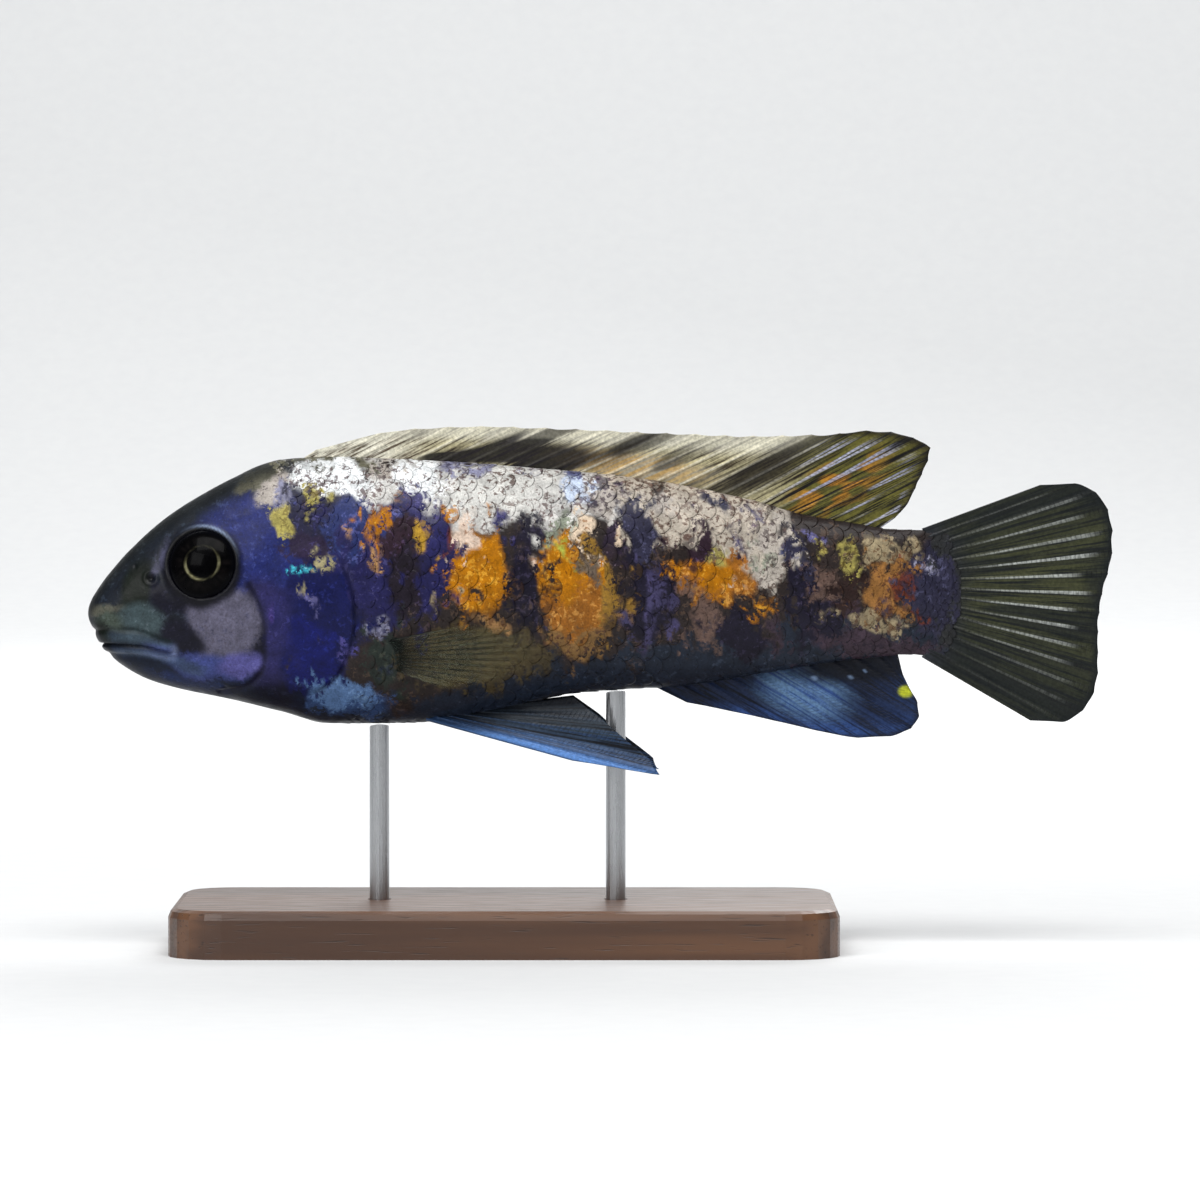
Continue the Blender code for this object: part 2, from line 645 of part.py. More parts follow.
def stand_base():
    """A flat plate with round corners, an eased top edge and a socket for each rod."""
    mesh = bmesh.new()
    bmesh.ops.create_cube(mesh, size=1.0)
    size = Matrix.Diagonal((BASE_LENGTH * MM, BASE_WIDTH * MM, BASE_THICKNESS * MM, 1))
    middle = place(BASE_MIDDLE, 0.0, BASE_THICKNESS / 2 - AXIS_HEIGHT)
    bmesh.ops.transform(mesh, matrix=Matrix.Translation(middle) @ size, verts=mesh.verts)
    upright = [e for e in mesh.edges if abs(e.verts[0].co.z - e.verts[1].co.z) > MM]
    bmesh.ops.bevel(mesh, geom=upright, offset=BASE_CORNER * MM, segments=BASE_CORNER_STEPS,
                    profile=0.5, affect="EDGES")
    top = max(v.co.z for v in mesh.verts)
    rim = [e for e in mesh.edges
           if all(v.co.z > top - 0.01 * MM for v in e.verts) and len(e.link_faces) == 2
           and any(abs(f.normal.z) < 0.5 for f in e.link_faces)]
    bmesh.ops.bevel(mesh, geom=rim, offset=BASE_EDGE * MM, segments=2, profile=0.5, affect="EDGES")
    bmesh.ops.recalc_face_normals(mesh, faces=mesh.faces)
    data = bpy.data.meshes.new("stand_base")
    mesh.to_mesh(data)
    mesh.free()
    base = new_object("stand_base", data)
    for along in (ROD_FRONT_AT, ROD_REAR_AT):
        socket = cylinder("socket", along, ROD_RADIUS + GAP, BASE_THICKNESS - ROD_SOCKET,
                          BASE_THICKNESS + 1.0)
        combine(base, socket, "DIFFERENCE")
    return base


def finish_with(target, name, colour, roughness, metallic=0.0):
    """Gives an object a plain material and smooth shading with sharp edges kept."""
    material = bpy.data.materials.get(name)
    if material is None:
        material = bpy.data.materials.new(name)
        material.use_nodes = True
        shader = material.node_tree.nodes["Principled BSDF"]
        shader.inputs["Base Color"].default_value = (*colour, 1.0)
        shader.inputs["Roughness"].default_value = roughness
        shader.inputs["Metallic"].default_value = metallic
    target.data.materials.clear()
    target.data.materials.append(material)
    target.data.shade_smooth()
    target.data.set_sharp_from_angle(angle=math.radians(35))


def clear_scene():
    for leftover in list(bpy.data.objects):
        bpy.data.objects.remove(leftover)


def build():
    clear_scene()
    jaw, head, trunk, tail_stem = fleshy_body()
    finish_with(jaw, "jaw_skin", (0.12, 0.17, 0.27), 0.35)
    finish_with(head, "head_skin", (0.06, 0.07, 0.15), 0.35)
    finish_with(trunk, "flank_skin", (0.36, 0.26, 0.14), 0.35)
    finish_with(tail_stem, "tail_stem_skin", (0.12, 0.09, 0.08), 0.35)
    for side, word in ((LEFT, "left"), (RIGHT, "right")):
        finish_with(gill_cover(side, "fish_gill_cover_" + word), "gill_cover_skin",
                    (0.03, 0.04, 0.17), 0.3)
        finish_with(eye(side, "fish_eye_" + word), "eye", (0.01, 0.01, 0.01), 0.05)
        finish_with(pectoral_fin(side, "fish_pectoral_fin_" + word), "pectoral_fin",
                    (0.22, 0.2, 0.12), 0.4)
        finish_with(pelvic_fin(side, "fish_pelvic_fin_" + word), "blue_fin", (0.1, 0.18, 0.36), 0.35)
    finish_with(dorsal_fin(), "dorsal_fin", (0.38, 0.33, 0.18), 0.4)
    finish_with(anal_fin(), "blue_fin", (0.1, 0.18, 0.36), 0.35)
    finish_with(caudal_fin(), "tail_fin", (0.07, 0.08, 0.06), 0.4)
    finish_with(stand_base(), "stand_wood", (0.1, 0.05, 0.025), 0.4)
    finish_with(stand_rod("stand_rod_front", ROD_FRONT_AT), "stand_steel", (0.6, 0.6, 0.6), 0.3, 1.0)
    finish_with(stand_rod("stand_rod_rear", ROD_REAR_AT), "stand_steel", (0.6, 0.6, 0.6), 0.3, 1.0)
    model = bpy.data.collections.new("marbled_cichlid")
    bpy.context.scene.collection.children.link(model)
    for made in list(bpy.context.scene.collection.objects):
        bpy.context.scene.collection.objects.unlink(made)
        model.objects.link(made)


build()
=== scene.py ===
# %% [markdown]
# This notebook dresses a life-size model of a marbled rock-dwelling cichlid that swims level over
# a small wooden stand. The solids of the fish come packed in a frame file, in metres, with the head
# towards -X and the fish's left side towards -Y. Every cell below adds one finer piece or one
# finish round those solids, and none of them is moved.

# %% Load the frame
import itertools
import math

import bmesh
import bpy
import numpy as np
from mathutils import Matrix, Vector


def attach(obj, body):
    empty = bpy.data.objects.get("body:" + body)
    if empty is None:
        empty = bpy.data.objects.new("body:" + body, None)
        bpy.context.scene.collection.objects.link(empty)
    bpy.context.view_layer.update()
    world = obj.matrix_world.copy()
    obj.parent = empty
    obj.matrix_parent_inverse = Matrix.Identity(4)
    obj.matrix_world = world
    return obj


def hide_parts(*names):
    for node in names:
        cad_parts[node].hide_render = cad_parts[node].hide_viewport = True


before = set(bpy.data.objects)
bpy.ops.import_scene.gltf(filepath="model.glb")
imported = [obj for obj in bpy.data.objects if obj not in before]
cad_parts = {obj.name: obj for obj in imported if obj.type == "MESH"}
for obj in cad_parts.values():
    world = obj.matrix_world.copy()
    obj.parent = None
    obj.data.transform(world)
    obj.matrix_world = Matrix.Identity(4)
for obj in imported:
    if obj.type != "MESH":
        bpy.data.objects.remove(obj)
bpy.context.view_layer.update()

print("solids to dress:", ", ".join(sorted(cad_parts)))

# %% [markdown]
# A fish is measured along its side. So the sizes below are in millimetres: "along" runs back from
# the tip of the snout, "up" runs from the level of the body's axis and "out" runs sideways from the
# middle plane. One function turns such places into points of the model. Doing this once keeps all
# the other cells in the numbers that a fish keeper would read off a ruler.

# %% Places on the fish
MM = 0.001
TOTAL_LENGTH, AXIS_HEIGHT = 130.0, 44.0
LEFT, RIGHT = -1, 1
SIDES = ((LEFT, "left"), (RIGHT, "right"))


def place(along, out, up):
    """Points of the model in metres, as rows, for places on the fish in millimetres."""
    along, out, up = np.broadcast_arrays(along, out, up)
    return np.stack([along - TOTAL_LENGTH / 2, out, AXIS_HEIGHT + up], axis=-1) * MM


def on_fish(points):
    """The reverse of place: (along, out, up) in millimetres."""
    return points / MM + np.array([TOTAL_LENGTH / 2, 0.0, -AXIS_HEIGHT])


print("snout at", place(0.0, 0.0, 0.0), "tail fin at", place(TOTAL_LENGTH, 0.0, 0.0))

# %% [markdown]
# The body's outline is a few given heights and widths with a smooth curve run through them.
# A spline would overshoot between keys and leave dents, so this curve picks its slopes so that it
# never rises above the keys beside it. Using the square root of the distance from the snout rounds
# the front of every curve, as a real snout is round. The last millimetres of the tail stem thin out
# towards the rounded line where the tail fin begins, as muscle gives way to the fin's root.

# %% Curves of the body
def eased(share):
    """0 to 1 with a soft start and a soft end."""
    return share * share * (3 - 2 * share)


def through(keys, power=1.0):
    """A smooth curve through (x, y) keys that never overshoots them. Power 0.5 rounds it at x = 0."""
    xs = np.array([key[0] for key in keys], float) ** power
    ys = np.array([key[1] for key in keys], float)
    steps = np.diff(xs)
    slopes = np.diff(ys) / steps
    tangents = np.concatenate([slopes[:1], np.zeros(len(keys) - 2), slopes[-1:]])
    for i in range(1, len(keys) - 1):
        if slopes[i - 1] * slopes[i] > 0:
            before, after = 2 * steps[i] + steps[i - 1], steps[i] + 2 * steps[i - 1]
            tangents[i] = (before + after) / (before / slopes[i - 1] + after / slopes[i])

    def value(x):
        x = np.clip(np.maximum(x, 0.0) ** power, 0.0, xs[-1])
        i = np.clip(np.searchsorted(xs, x) - 1, 0, len(steps) - 1)
        t = (x - xs[i]) / steps[i]
        return (
            ys[i] * (1 + 2 * t) * (1 - t) ** 2
            + tangents[i] * steps[i] * t * (1 - t) ** 2
            + ys[i + 1] * t * t * (3 - 2 * t)
            + tangents[i + 1] * steps[i] * t * t * (t - 1)
        )

    return value


BODY_END = 111.0
BACK = through([
    (0.0, -1.7), (0.9, 0.9), (2.9, 3.7), (6.7, 7.9), (10.3, 10.9), (14.3, 13.4), (18.4, 15.6),
    (24.5, 17.9), (31.0, 18.3), (40.0, 18.0), (50.0, 17.4), (65.0, 16.2), (72.7, 15.2), (77.7, 14.3),
    (84.0, 12.8), (90.3, 11.2), (96.7, 9.9), (102.0, 9.1), (107.0, 9.0), (BODY_END, 9.2),
], 0.5)
BELLY = through([
    (0.0, -1.7), (0.9, -4.1), (2.4, -6.6), (4.7, -8.6), (8.0, -10.3), (18.4, -12.7), (24.5, -14.2),
    (30.5, -15.8), (40.0, -15.7), (47.0, -15.2), (54.0, -13.7), (61.5, -11.9), (68.0, -11.4),
    (74.0, -11.1), (80.0, -10.4), (86.0, -9.4), (92.0, -8.3), (98.0, -7.5), (104.0, -7.1),
    (BODY_END, -7.5),
], 0.5)
LEVEL = through([(0.0, -1.7), (6.0, -1.8), (15.0, -1.0), (30.0, 0.0), (45.0, 0.8), (60.0, 1.8),
                 (80.0, 1.8), (100.0, 1.0), (BODY_END, 0.9)], 0.5)
WIDTH = through([
    (0.0, 0.0), (1.0, 2.8), (2.5, 3.9), (5.0, 4.8), (8.0, 5.5), (12.0, 6.3), (16.0, 7.0),
    (22.0, 7.9), (28.0, 8.4), (34.0, 8.6), (42.0, 8.5), (50.0, 8.1), (58.0, 7.5), (66.0, 6.7),
    (74.0, 5.7), (82.0, 4.6), (90.0, 3.5), (98.0, 2.6), (104.0, 1.95), (BODY_END, 1.1),
], 0.5)
UPPER_ROUNDNESS, LOWER_ROUNDNESS = 1.95, 2.2
TAIL_ARC_BACK, TAIL_ARC_BULGE, TAIL_ARC_LEVEL, TAIL_ARC_HALF = 107.0, 3.0, 0.9, 8.4
TAPER, TAPER_LENGTH = 0.55, 5.0


def tail_end(up):
    """Where the tail stem's rounded end lies at a height."""
    share = np.clip((up - TAIL_ARC_LEVEL) / TAIL_ARC_HALF, -1, 1)
    return TAIL_ARC_BACK + TAIL_ARC_BULGE * (1 - share**2)


def thinned(out, along, up):
    """Brings the last millimetres of the tail stem in towards the thin tail fin."""
    near = np.clip(1 + (along - tail_end(up)) / TAPER_LENGTH, 0, 1)
    return out * (1 - TAPER * eased(near))


def ring_shape(along, above):
    """The ring's widest level, its roundness above or below it and how far it reaches that way."""
    level = LEVEL(along)
    roundness = np.where(above, UPPER_ROUNDNESS, LOWER_ROUNDNESS)
    return level, roundness, np.where(above, BACK(along) - level, level - BELLY(along))


def section(along, turn):
    """(out, up) where the body's ring at a place along it is met at a turn up from its widest level."""
    cosine, sine = np.cos(turn), np.sin(turn)
    level, roundness, reach = ring_shape(along, sine > 0)
    out = np.sign(cosine) * np.abs(cosine) ** (2 / roundness) * WIDTH(along)
    up = level + np.sign(sine) * np.abs(sine) ** (2 / roundness) * reach
    return thinned(out, along, up), up


def side_out(along, up):
    """How far the body's surface lies from the middle plane at a place seen from the side."""
    level, roundness, reach = ring_shape(along, up > LEVEL(along))
    share = np.minimum(np.abs(up - level) / reach, 1.0)
    return thinned(WIDTH(along) * (1 - share**roundness) ** (1 / roundness), along, up)


print(f"deepest body {float(BACK(31.0) - BELLY(31.0)):.1f} mm, widest {2 * float(WIDTH(34.0)):.1f} mm")

# %% [markdown]
# The photograph looks squarely at the fish's left side, from about its own height. A long lens from
# some way off keeps the shape flat as in the picture, and a touch of height shows the stand's top.
# The floor curves up into a backdrop, so no horizon line crosses the picture. Both are pale and
# plain, as a museum photographer would have them.

# %% Camera and floor
# Width of the picture at the fish and distance of the camera, in millimetres, and rise in degrees
FRAME_WIDTH, DISTANCE, CAMERA_RISE = 152.2, 900.0, 2.0
SENSOR, CLIP_START = 36.0, 0.05


def add_camera():
    data = bpy.data.cameras.new("camera")
    data.sensor_width = SENSOR
    data.lens = SENSOR * DISTANCE / FRAME_WIDTH
    data.clip_start = CLIP_START
    camera = bpy.data.objects.new("camera", data)
    bpy.context.scene.collection.objects.link(camera)
    rise = math.radians(CAMERA_RISE)
    target = Vector((0.0, 0.0, AXIS_HEIGHT)) * MM
    camera.location = target + Vector((0.0, -math.cos(rise), math.sin(rise))) * DISTANCE * MM
    camera.rotation_euler = (target - camera.location).to_track_quat("-Z", "Y").to_euler()
    bpy.context.scene.camera = camera


def new_piece(name, points, faces):
    """A smooth mesh object from points in metres and faces as lists of corners."""
    mesh = bpy.data.meshes.new(name)
    mesh.from_pydata(np.asarray(points).tolist(), [], faces)
    mesh.shade_smooth()
    made = bpy.data.objects.new(name, mesh)
    bpy.context.scene.collection.objects.link(made)
    return made


def grid_faces(rows, columns, wrap=False, first=0):
    """Quads of a grid of points that is stored row after row."""
    row, column = np.meshgrid(np.arange(rows - 1), np.arange(columns - (0 if wrap else 1)),
                              indexing="ij")
    after = (column + 1) % columns
    corners = [row * columns + column, row * columns + after,
               (row + 1) * columns + after, (row + 1) * columns + column]
    return (np.stack(corners, axis=-1).reshape(-1, 4) + first).tolist()


def add_backdrop():
    """A floor that curves up behind the fish into a wall. Its sizes are in metres."""
    half_width, near, bend, radius, height = 1.6, -1.5, 0.95, 0.5, 1.6
    bend_steps, columns = 17, 9
    turns = np.linspace(0, math.pi / 2, bend_steps)
    profile = [(near, 0.0), (0.0, 0.0)]
    profile += [(bend + radius * math.sin(t), radius * (1 - math.cos(t))) for t in turns]
    profile.append((bend + radius, height))
    points = [(x, y, z) for y, z in profile for x in np.linspace(-half_width, half_width, columns)]
    backdrop = new_piece("backdrop", points, grid_faces(len(profile), columns))
    return backdrop


add_camera()
backdrop = add_backdrop()
print(f"lens {bpy.context.scene.camera.data.lens:.0f} mm")

# %% [markdown]
# Soft studio light comes from four big panels. One hangs over the fish and a little in front, so the
# back is bright and the belly falls off into shade, as in the picture and as daylight does under
# water. A weaker panel in front fills the flank, one behind keeps the other views readable, and the
# widest lights the backdrop. A pale sky lights what the panels miss. The picture is shown with
# Blender's plain transform, because the filmic one greys strong blues and oranges, the marks of
# this fish.

# %% Light
SKY_COLOUR, SKY_STRENGTH = (0.95, 0.97, 1.0, 1.0), 0.16


def add_panel(name, place_at, size, power, aim=(0.0, 0.0, AXIS_HEIGHT * MM)):
    data = bpy.data.lights.new(name, "AREA")
    data.shape = "RECTANGLE"
    data.size, data.size_y = size
    data.energy = power
    panel = bpy.data.objects.new(name, data)
    panel.location = place_at
    panel.rotation_euler = (Vector(aim) - panel.location).to_track_quat("-Z", "Y").to_euler()
    bpy.context.scene.collection.objects.link(panel)


def add_sky():
    world = bpy.data.worlds.new("studio")
    world.use_nodes = True
    background = world.node_tree.nodes["Background"]
    background.inputs["Color"].default_value = SKY_COLOUR
    background.inputs["Strength"].default_value = SKY_STRENGTH
    bpy.context.scene.world = world


# Name, place in metres, size in metres, power in watts
add_panel("panel_over", (-0.05, -0.33, 0.68), (0.7, 0.4), 6.0)
add_panel("panel_front", (-0.55, -0.75, 0.5), (0.45, 0.45), 3.2)
add_panel("panel_behind", (0.3, 0.75, 0.6), (0.7, 0.5), 4.5)
add_panel("panel_wall", (0.0, 0.55, 0.85), (1.2, 0.4), 9.0, (0.0, 1.4, 0.15))
add_sky()
bpy.context.scene.view_settings.view_transform = "Standard"

# %% [markdown]
# A material here is a small tree of shader nodes. Writing each link by hand is long, so a short
# class builds trees: it makes a node, sets its settings and joins its inputs, where an input is
# either a plain value or the output of another node. Colours are written as a screen shows them,
# and one more function turns them into what shaders take.

# %% A short way to write shader trees
class Tree:
    """A material and its nodes."""

    def __init__(self, name):
        self.material = bpy.data.materials.new(name)
        self.material.use_nodes = True
        self.tree = self.material.node_tree
        self.shader = self.tree.nodes["Principled BSDF"]

    def join(self, socket, value):
        if isinstance(value, bpy.types.NodeSocket):
            self.tree.links.new(value, socket)
        else:
            socket.default_value = value

    def node(self, kind, inputs=(), output=0, **settings):
        made = self.tree.nodes.new("ShaderNode" + kind)
        for name, value in settings.items():
            setattr(made, name, value)
        for key, value in dict(inputs).items():
            self.join(made.inputs[key], value)
        return made.outputs[output]

    def attribute(self, name, output="Fac"):
        return self.node("Attribute", output=output, attribute_name=name)

    def where(self):
        """Places on the object itself, in millimetres."""
        places = self.node("TexCoord", output="Object")
        return self.node("VectorMath", {0: places, "Scale": 1 / MM}, operation="SCALE")

    def noise(self, size, detail=2.0, places=None, rough=0.5, warp=0.0):
        """Noise with grains of about this size in millimetres, from 0 to 1."""
        inputs = {"Vector": places or self.where(), "Scale": 1 / size, "Detail": detail,
                  "Roughness": rough, "Distortion": warp}
        return self.node("TexNoise", inputs, output="Fac")

    def sum(self, operation, first, second=0.0):
        return self.node("Math", {0: first, 1: second}, operation=operation)

    def times(self, first, second):
        return self.sum("MULTIPLY", first, second)

    def remap(self, value, low, high, to_low=0.0, to_high=1.0, smooth=True):
        kind = "SMOOTHSTEP" if smooth else "LINEAR"
        inputs = {"Value": value, "From Min": low, "From Max": high, "To Min": to_low,
                  "To Max": to_high}
        return self.node("MapRange", inputs, interpolation_type=kind)

    def mix(self, share, first, second, blend="MIX"):
        made = self.tree.nodes.new("ShaderNodeMix")
        made.data_type = "RGBA"
        made.blend_type = blend
        self.join(made.inputs[0], share)
        self.join(made.inputs[6], first)
        self.join(made.inputs[7], second)
        return made.outputs[2]

    def shaded(self, colour, tone):
        """The colour made lighter or darker by a tone round 1."""
        grey = self.node("CombineColor", {0: tone, 1: tone, 2: tone})
        return self.mix(1.0, colour, grey, "MULTIPLY")

    def squeezed(self, *shares):
        """Places on the object, squeezed along its axes by these shares, to draw noise out."""
        return self.node("VectorMath", {0: self.where(), 1: shares}, operation="MULTIPLY")

    def bump(self, height, depth, strength=1.0):
        """Relief from a height of 0 to 1, with its full depth in millimetres."""
        inputs = {"Height": height, "Distance": depth * MM, "Strength": strength}
        return self.node("Bump", inputs, output="Normal")

    def finish(self, **inputs):
        for name, value in inputs.items():
            self.join(self.shader.inputs[name.replace("_", " ")], value)
        return self.material


def rgb(red, green, blue):
    """A screen colour, 0 to 255, as the linear colour that shaders take."""
    parts = np.array([red, green, blue]) / 255
    line = np.where(parts <= 0.04045, parts / 12.92, ((parts + 0.055) / 1.055) ** 2.4)
    return (*(float(part) for part in line), 1.0)


def ink(red, green, blue):
    """The same colour as three numbers to paint with."""
    return np.array(rgb(red, green, blue)[:3])


def paper():
    tree = Tree("backdrop_paper")
    tone = tree.mix(tree.noise(4.0, 3.0), rgb(214, 215, 216), rgb(220, 221, 221))
    return tree.finish(Base_Color=tone, Roughness=0.85)


backdrop.data.materials.append(paper())
print("backdrop paper done")

# %% [markdown]
# Nature never repeats, so most cells need steady randomness: values that look random but come out
# the same on each run. This is value noise. Every corner of a lattice gets a number out of a seeded
# table, and the numbers are blended smoothly in between.

# %% Steady randomness
TABLE_SIZE = 4096
HASH_FACTORS = np.array([73856093, 19349663, 83492791])


def grain(spots, size, seed=0):
    """Smooth values from 0 to 1 at places in any number of dimensions, with grains of this size."""
    table = np.random.default_rng(1000 + seed).random(TABLE_SIZE)
    spots = np.asarray(spots, float) / size
    cell = np.floor(spots).astype(np.int64)
    part = spots - cell
    part = eased(part)
    total = np.zeros(spots.shape[:-1])
    for corner in itertools.product((0, 1), repeat=spots.shape[-1]):
        weight = np.prod(np.where(corner, part, 1 - part), axis=-1)
        hashed = (cell + np.array(corner)) @ HASH_FACTORS[:spots.shape[-1]]
        total += weight * table[hashed % TABLE_SIZE]
    return total


def swing(spots, size, seed=0):
    """The same noise from -1 to 1."""
    return 2 * grain(spots, size, seed) - 1


def smooth(low, high, value):
    """0 below low, 1 above high and smooth in between. Low may be the larger one."""
    t = np.clip((value - low) / (high - low), 0, 1)
    return eased(t)


def hump(distance, width):
    """1 in the middle of a ridge or pit and close to 0 at twice its width away."""
    return np.exp(-((distance / width) ** 2))


print("noise at the snout:", round(float(grain([[0.0, 0.5, 0.2]], 1.0)[0]), 3))

# %% [markdown]
# The markings are what this fish is known by. Each kind of mark is named once as a finish: its
# colour, the colour of the flecks in it and how dense they are. Then a list places patches of these
# finishes on the flank, from the large ones below to the small ones on top. Each patch is an
# ellipse, so it needs five sizes only, and noise that bends the ellipses into ragged shapes does the
# rest. Painting a picture would be quicker, but it would fit one side and one size only.

# %% Finishes of the skin
# Name: skin colour, fleck colour, share of flecks
FINISHES = {
    "forehead": ((23, 28, 37), (42, 50, 62), 0.3),
    "snout": ((84, 84, 74), (60, 64, 56), 0.3),
    # Dark of the snout: a dark band on the snout and painted shade on the front of the upper lip.
    "snout_dark": ((13, 19, 13), (36, 44, 36), 0.2),
    "cheek": ((88, 86, 104), (68, 68, 90), 0.3),
    "cheek_dark": ((15, 15, 29), (34, 33, 48), 0.25),
    "cheek_band": ((62, 72, 132), (88, 96, 156), 0.3),
    "chin": ((11, 20, 38), (24, 36, 62), 0.25),
    "chin_blue": ((30, 44, 88), (48, 66, 116), 0.3),
    "temple": ((28, 36, 92), (50, 60, 120), 0.35),
    "muzzle": ((60, 74, 78), (84, 98, 104), 0.3),
    "muzzle_green": ((60, 69, 62), (74, 84, 78), 0.3),
    "brow": ((72, 72, 94), (90, 90, 112), 0.3),
    "jaw_steel": ((56, 70, 102), (78, 90, 122), 0.3),
    "cheek_lilac": ((86, 84, 146), (104, 102, 164), 0.3),
    "eye_ring": ((12, 12, 24), (30, 30, 48), 0.2),
    "opercle": ((15, 20, 68), (32, 40, 104), 0.3),
    "deep_blue": ((14, 20, 84), (28, 38, 118), 0.25),
    "shoulder": ((28, 27, 52), (58, 56, 96), 0.3),
    "steel_blue": ((84, 114, 158), (110, 142, 184), 0.35),
    "breast": ((46, 66, 104), (78, 104, 146), 0.3),
    "belly": ((31, 38, 51), (52, 61, 77), 0.3),
    "flank": ((42, 35, 34), (74, 59, 50), 0.35),
    "back_white": ((190, 188, 184), (92, 74, 72), 0.5),
    "speckled_white": ((226, 229, 230), (92, 78, 80), 0.42),
    "band_white": ((194, 193, 188), (88, 70, 64), 0.5),
    "cream_white": ((178, 168, 154), (94, 74, 64), 0.5),
    "ice_white": ((180, 192, 212), (104, 110, 134), 0.45),
    "grey_white": ((172, 164, 154), (82, 70, 68), 0.48),
    "grey_speckle": ((168, 160, 152), (60, 48, 50), 0.5),
    "pale_lilac": ((180, 178, 204), (112, 108, 150), 0.4),
    "lilac": ((96, 94, 142), (70, 68, 112), 0.4),
    "lilac_grey": ((124, 124, 148), (64, 62, 84), 0.4),
    "grey_violet": ((62, 58, 90), (38, 33, 58), 0.4),
    "blue_grey": ((84, 88, 122), (48, 46, 76), 0.4),
    "pink_white": ((206, 184, 166), (140, 92, 56), 0.45),
    "pink_cream": ((204, 184, 160), (136, 92, 52), 0.45),
    "pale_cream": ((146, 132, 104), (96, 72, 50), 0.5),
    "orange": ((166, 104, 6), (206, 148, 44), 0.4),
    "burnt_orange": ((142, 88, 28), (190, 136, 66), 0.45),
    "orange_brown": ((138, 96, 50), (84, 52, 34), 0.5),
    "yellow": ((180, 140, 44), (150, 104, 30), 0.45),
    "yellow_olive": ((156, 146, 78), (104, 90, 46), 0.5),
    "yellow_green": ((160, 168, 70), (190, 170, 70), 0.3),
    "ochre_olive": ((140, 106, 42), (90, 66, 40), 0.45),
    "olive_nape": ((92, 90, 74), (52, 50, 46), 0.45),
    "olive_brown": ((76, 66, 44), (50, 42, 34), 0.45),
    "cream_olive": ((150, 142, 106), (96, 92, 74), 0.4),
    "grey_green": ((128, 134, 118), (80, 80, 74), 0.4),
    "tan": ((166, 126, 80), (112, 78, 50), 0.45),
    "tan_brown": ((122, 92, 54), (78, 54, 40), 0.5),
    "brown": ((92, 62, 44), (56, 36, 32), 0.4),
    "grey_brown": ((96, 84, 72), (60, 48, 44), 0.4),
    "pink_brown": ((98, 78, 70), (62, 48, 48), 0.45),
    "purple_brown": ((58, 46, 56), (38, 30, 40), 0.4),
    "red_brown": ((98, 48, 34), (60, 32, 30), 0.4),
    "dark_brown": ((44, 30, 28), (78, 56, 42), 0.3),
    "maroon": ((42, 27, 38), (68, 52, 78), 0.35),
    "maroon_black": ((28, 22, 32), (50, 42, 62), 0.3),
    "dark_bar": ((24, 21, 36), (50, 45, 66), 0.35),
    "dark_speck": ((44, 35, 50), (110, 96, 110), 0.35),
    "green_black": ((36, 44, 40), (62, 68, 58), 0.3),
    "indigo_spot": ((42, 40, 84), (78, 74, 122), 0.35),
    "violet_bar": ((38, 48, 96), (74, 82, 140), 0.35),
    "plum": ((38, 29, 54), (60, 54, 96), 0.4),
    "slate_indigo": ((42, 41, 60), (70, 70, 96), 0.35),
    "root_grey": ((40, 41, 42), (56, 58, 60), 0.3),
    "deep_indigo": ((32, 31, 74), (60, 58, 104), 0.3),
    "indigo_purple": ((62, 44, 110), (90, 70, 140), 0.3),
    # Violet: the colour of a small painted highlight at the rear edge of the gill cover.
    "violet": ((72, 68, 132), (96, 90, 160), 0.3),
    "turquoise": ((70, 200, 220), (170, 240, 245), 0.4),
}
PAINTS = {name: np.array([*ink(*base), *ink(*fleck), share])
          for name, (base, fleck, share) in FINISHES.items()}
print(len(PAINTS), "finishes of the skin")

# %% [markdown]
# The head is nearly the same on both sides. The flank isn't: each side of such a fish has its own
# blotches. So the flank's patches are used as they are on the left, the side in the photograph, and
# moved and stretched a little by a seeded draw on the right. Over both go some five hundred marbles
# of a millimetre or two, each in the finish of a place a short way off, because on the living fish
# scraps of every blotch lie scattered in the blotches round it.

# %% Where the patches lie
# Finish, along, up, half length, half height, tilt in degrees
HEAD_BASE = [
    ("forehead", 10.0, 7.0, 22.0, 12.0, 30), ("chin", 12.0, -13.0, 20.0, 7.5, -12),
    ("temple", 21.4, 7.0, 7.9, 6.4, 20), ("cheek_dark", 24.0, -4.0, 3.4, 9.0, 0),
]
HEAD_PATCHES = [
    ("snout_dark", 6.4, 1.2, 1.7, 4.4, -12), ("snout", 2.0, -1.0, 2.5, 0.75, 3),
    ("muzzle_green", 3.6, -2.6, 2.6, 1.2, -10),
    # The next dark patch is painted shade on the front of the upper lip.
    ("snout_dark", 1.8, -4.6, 1.3, 2.2, 20), ("muzzle", 7.4, -2.3, 2.8, 2.0, -15),
    ("brow", 9.8, 6.1, 1.6, 0.4, 80), ("brow", 8.7, 4.0, 0.8, 0.35, 50),
    ("cheek_dark", 9.6, 0.6, 2.4, 1.1, -60), ("cheek_dark", 12.6, -0.4, 2.6, 1.2, -15),
    ("cheek", 18.0, -2.6, 4.8, 4.6, 0), ("cheek", 16.5, -5.6, 4.0, 2.6, -10),
    ("cheek_dark", 12.2, -4.6, 2.9, 2.1, -38), ("cheek_dark", 13.6, -5.6, 1.5, 1.4, -30),
    ("cheek_band", 15.9, -8.3, 4.9, 1.6, -8), ("cheek_lilac", 20.0, -8.1, 3.2, 1.5, 8),
    ("jaw_steel", 12.6, -7.9, 2.6, 0.8, -12),
    ("chin", 7.4, -8.3, 3.2, 1.1, -14), ("chin_blue", 12.5, -10.4, 5.0, 0.9, -14),
    ("eye_ring", 14.8, 4.2, 5.1, 5.3, 0),
]
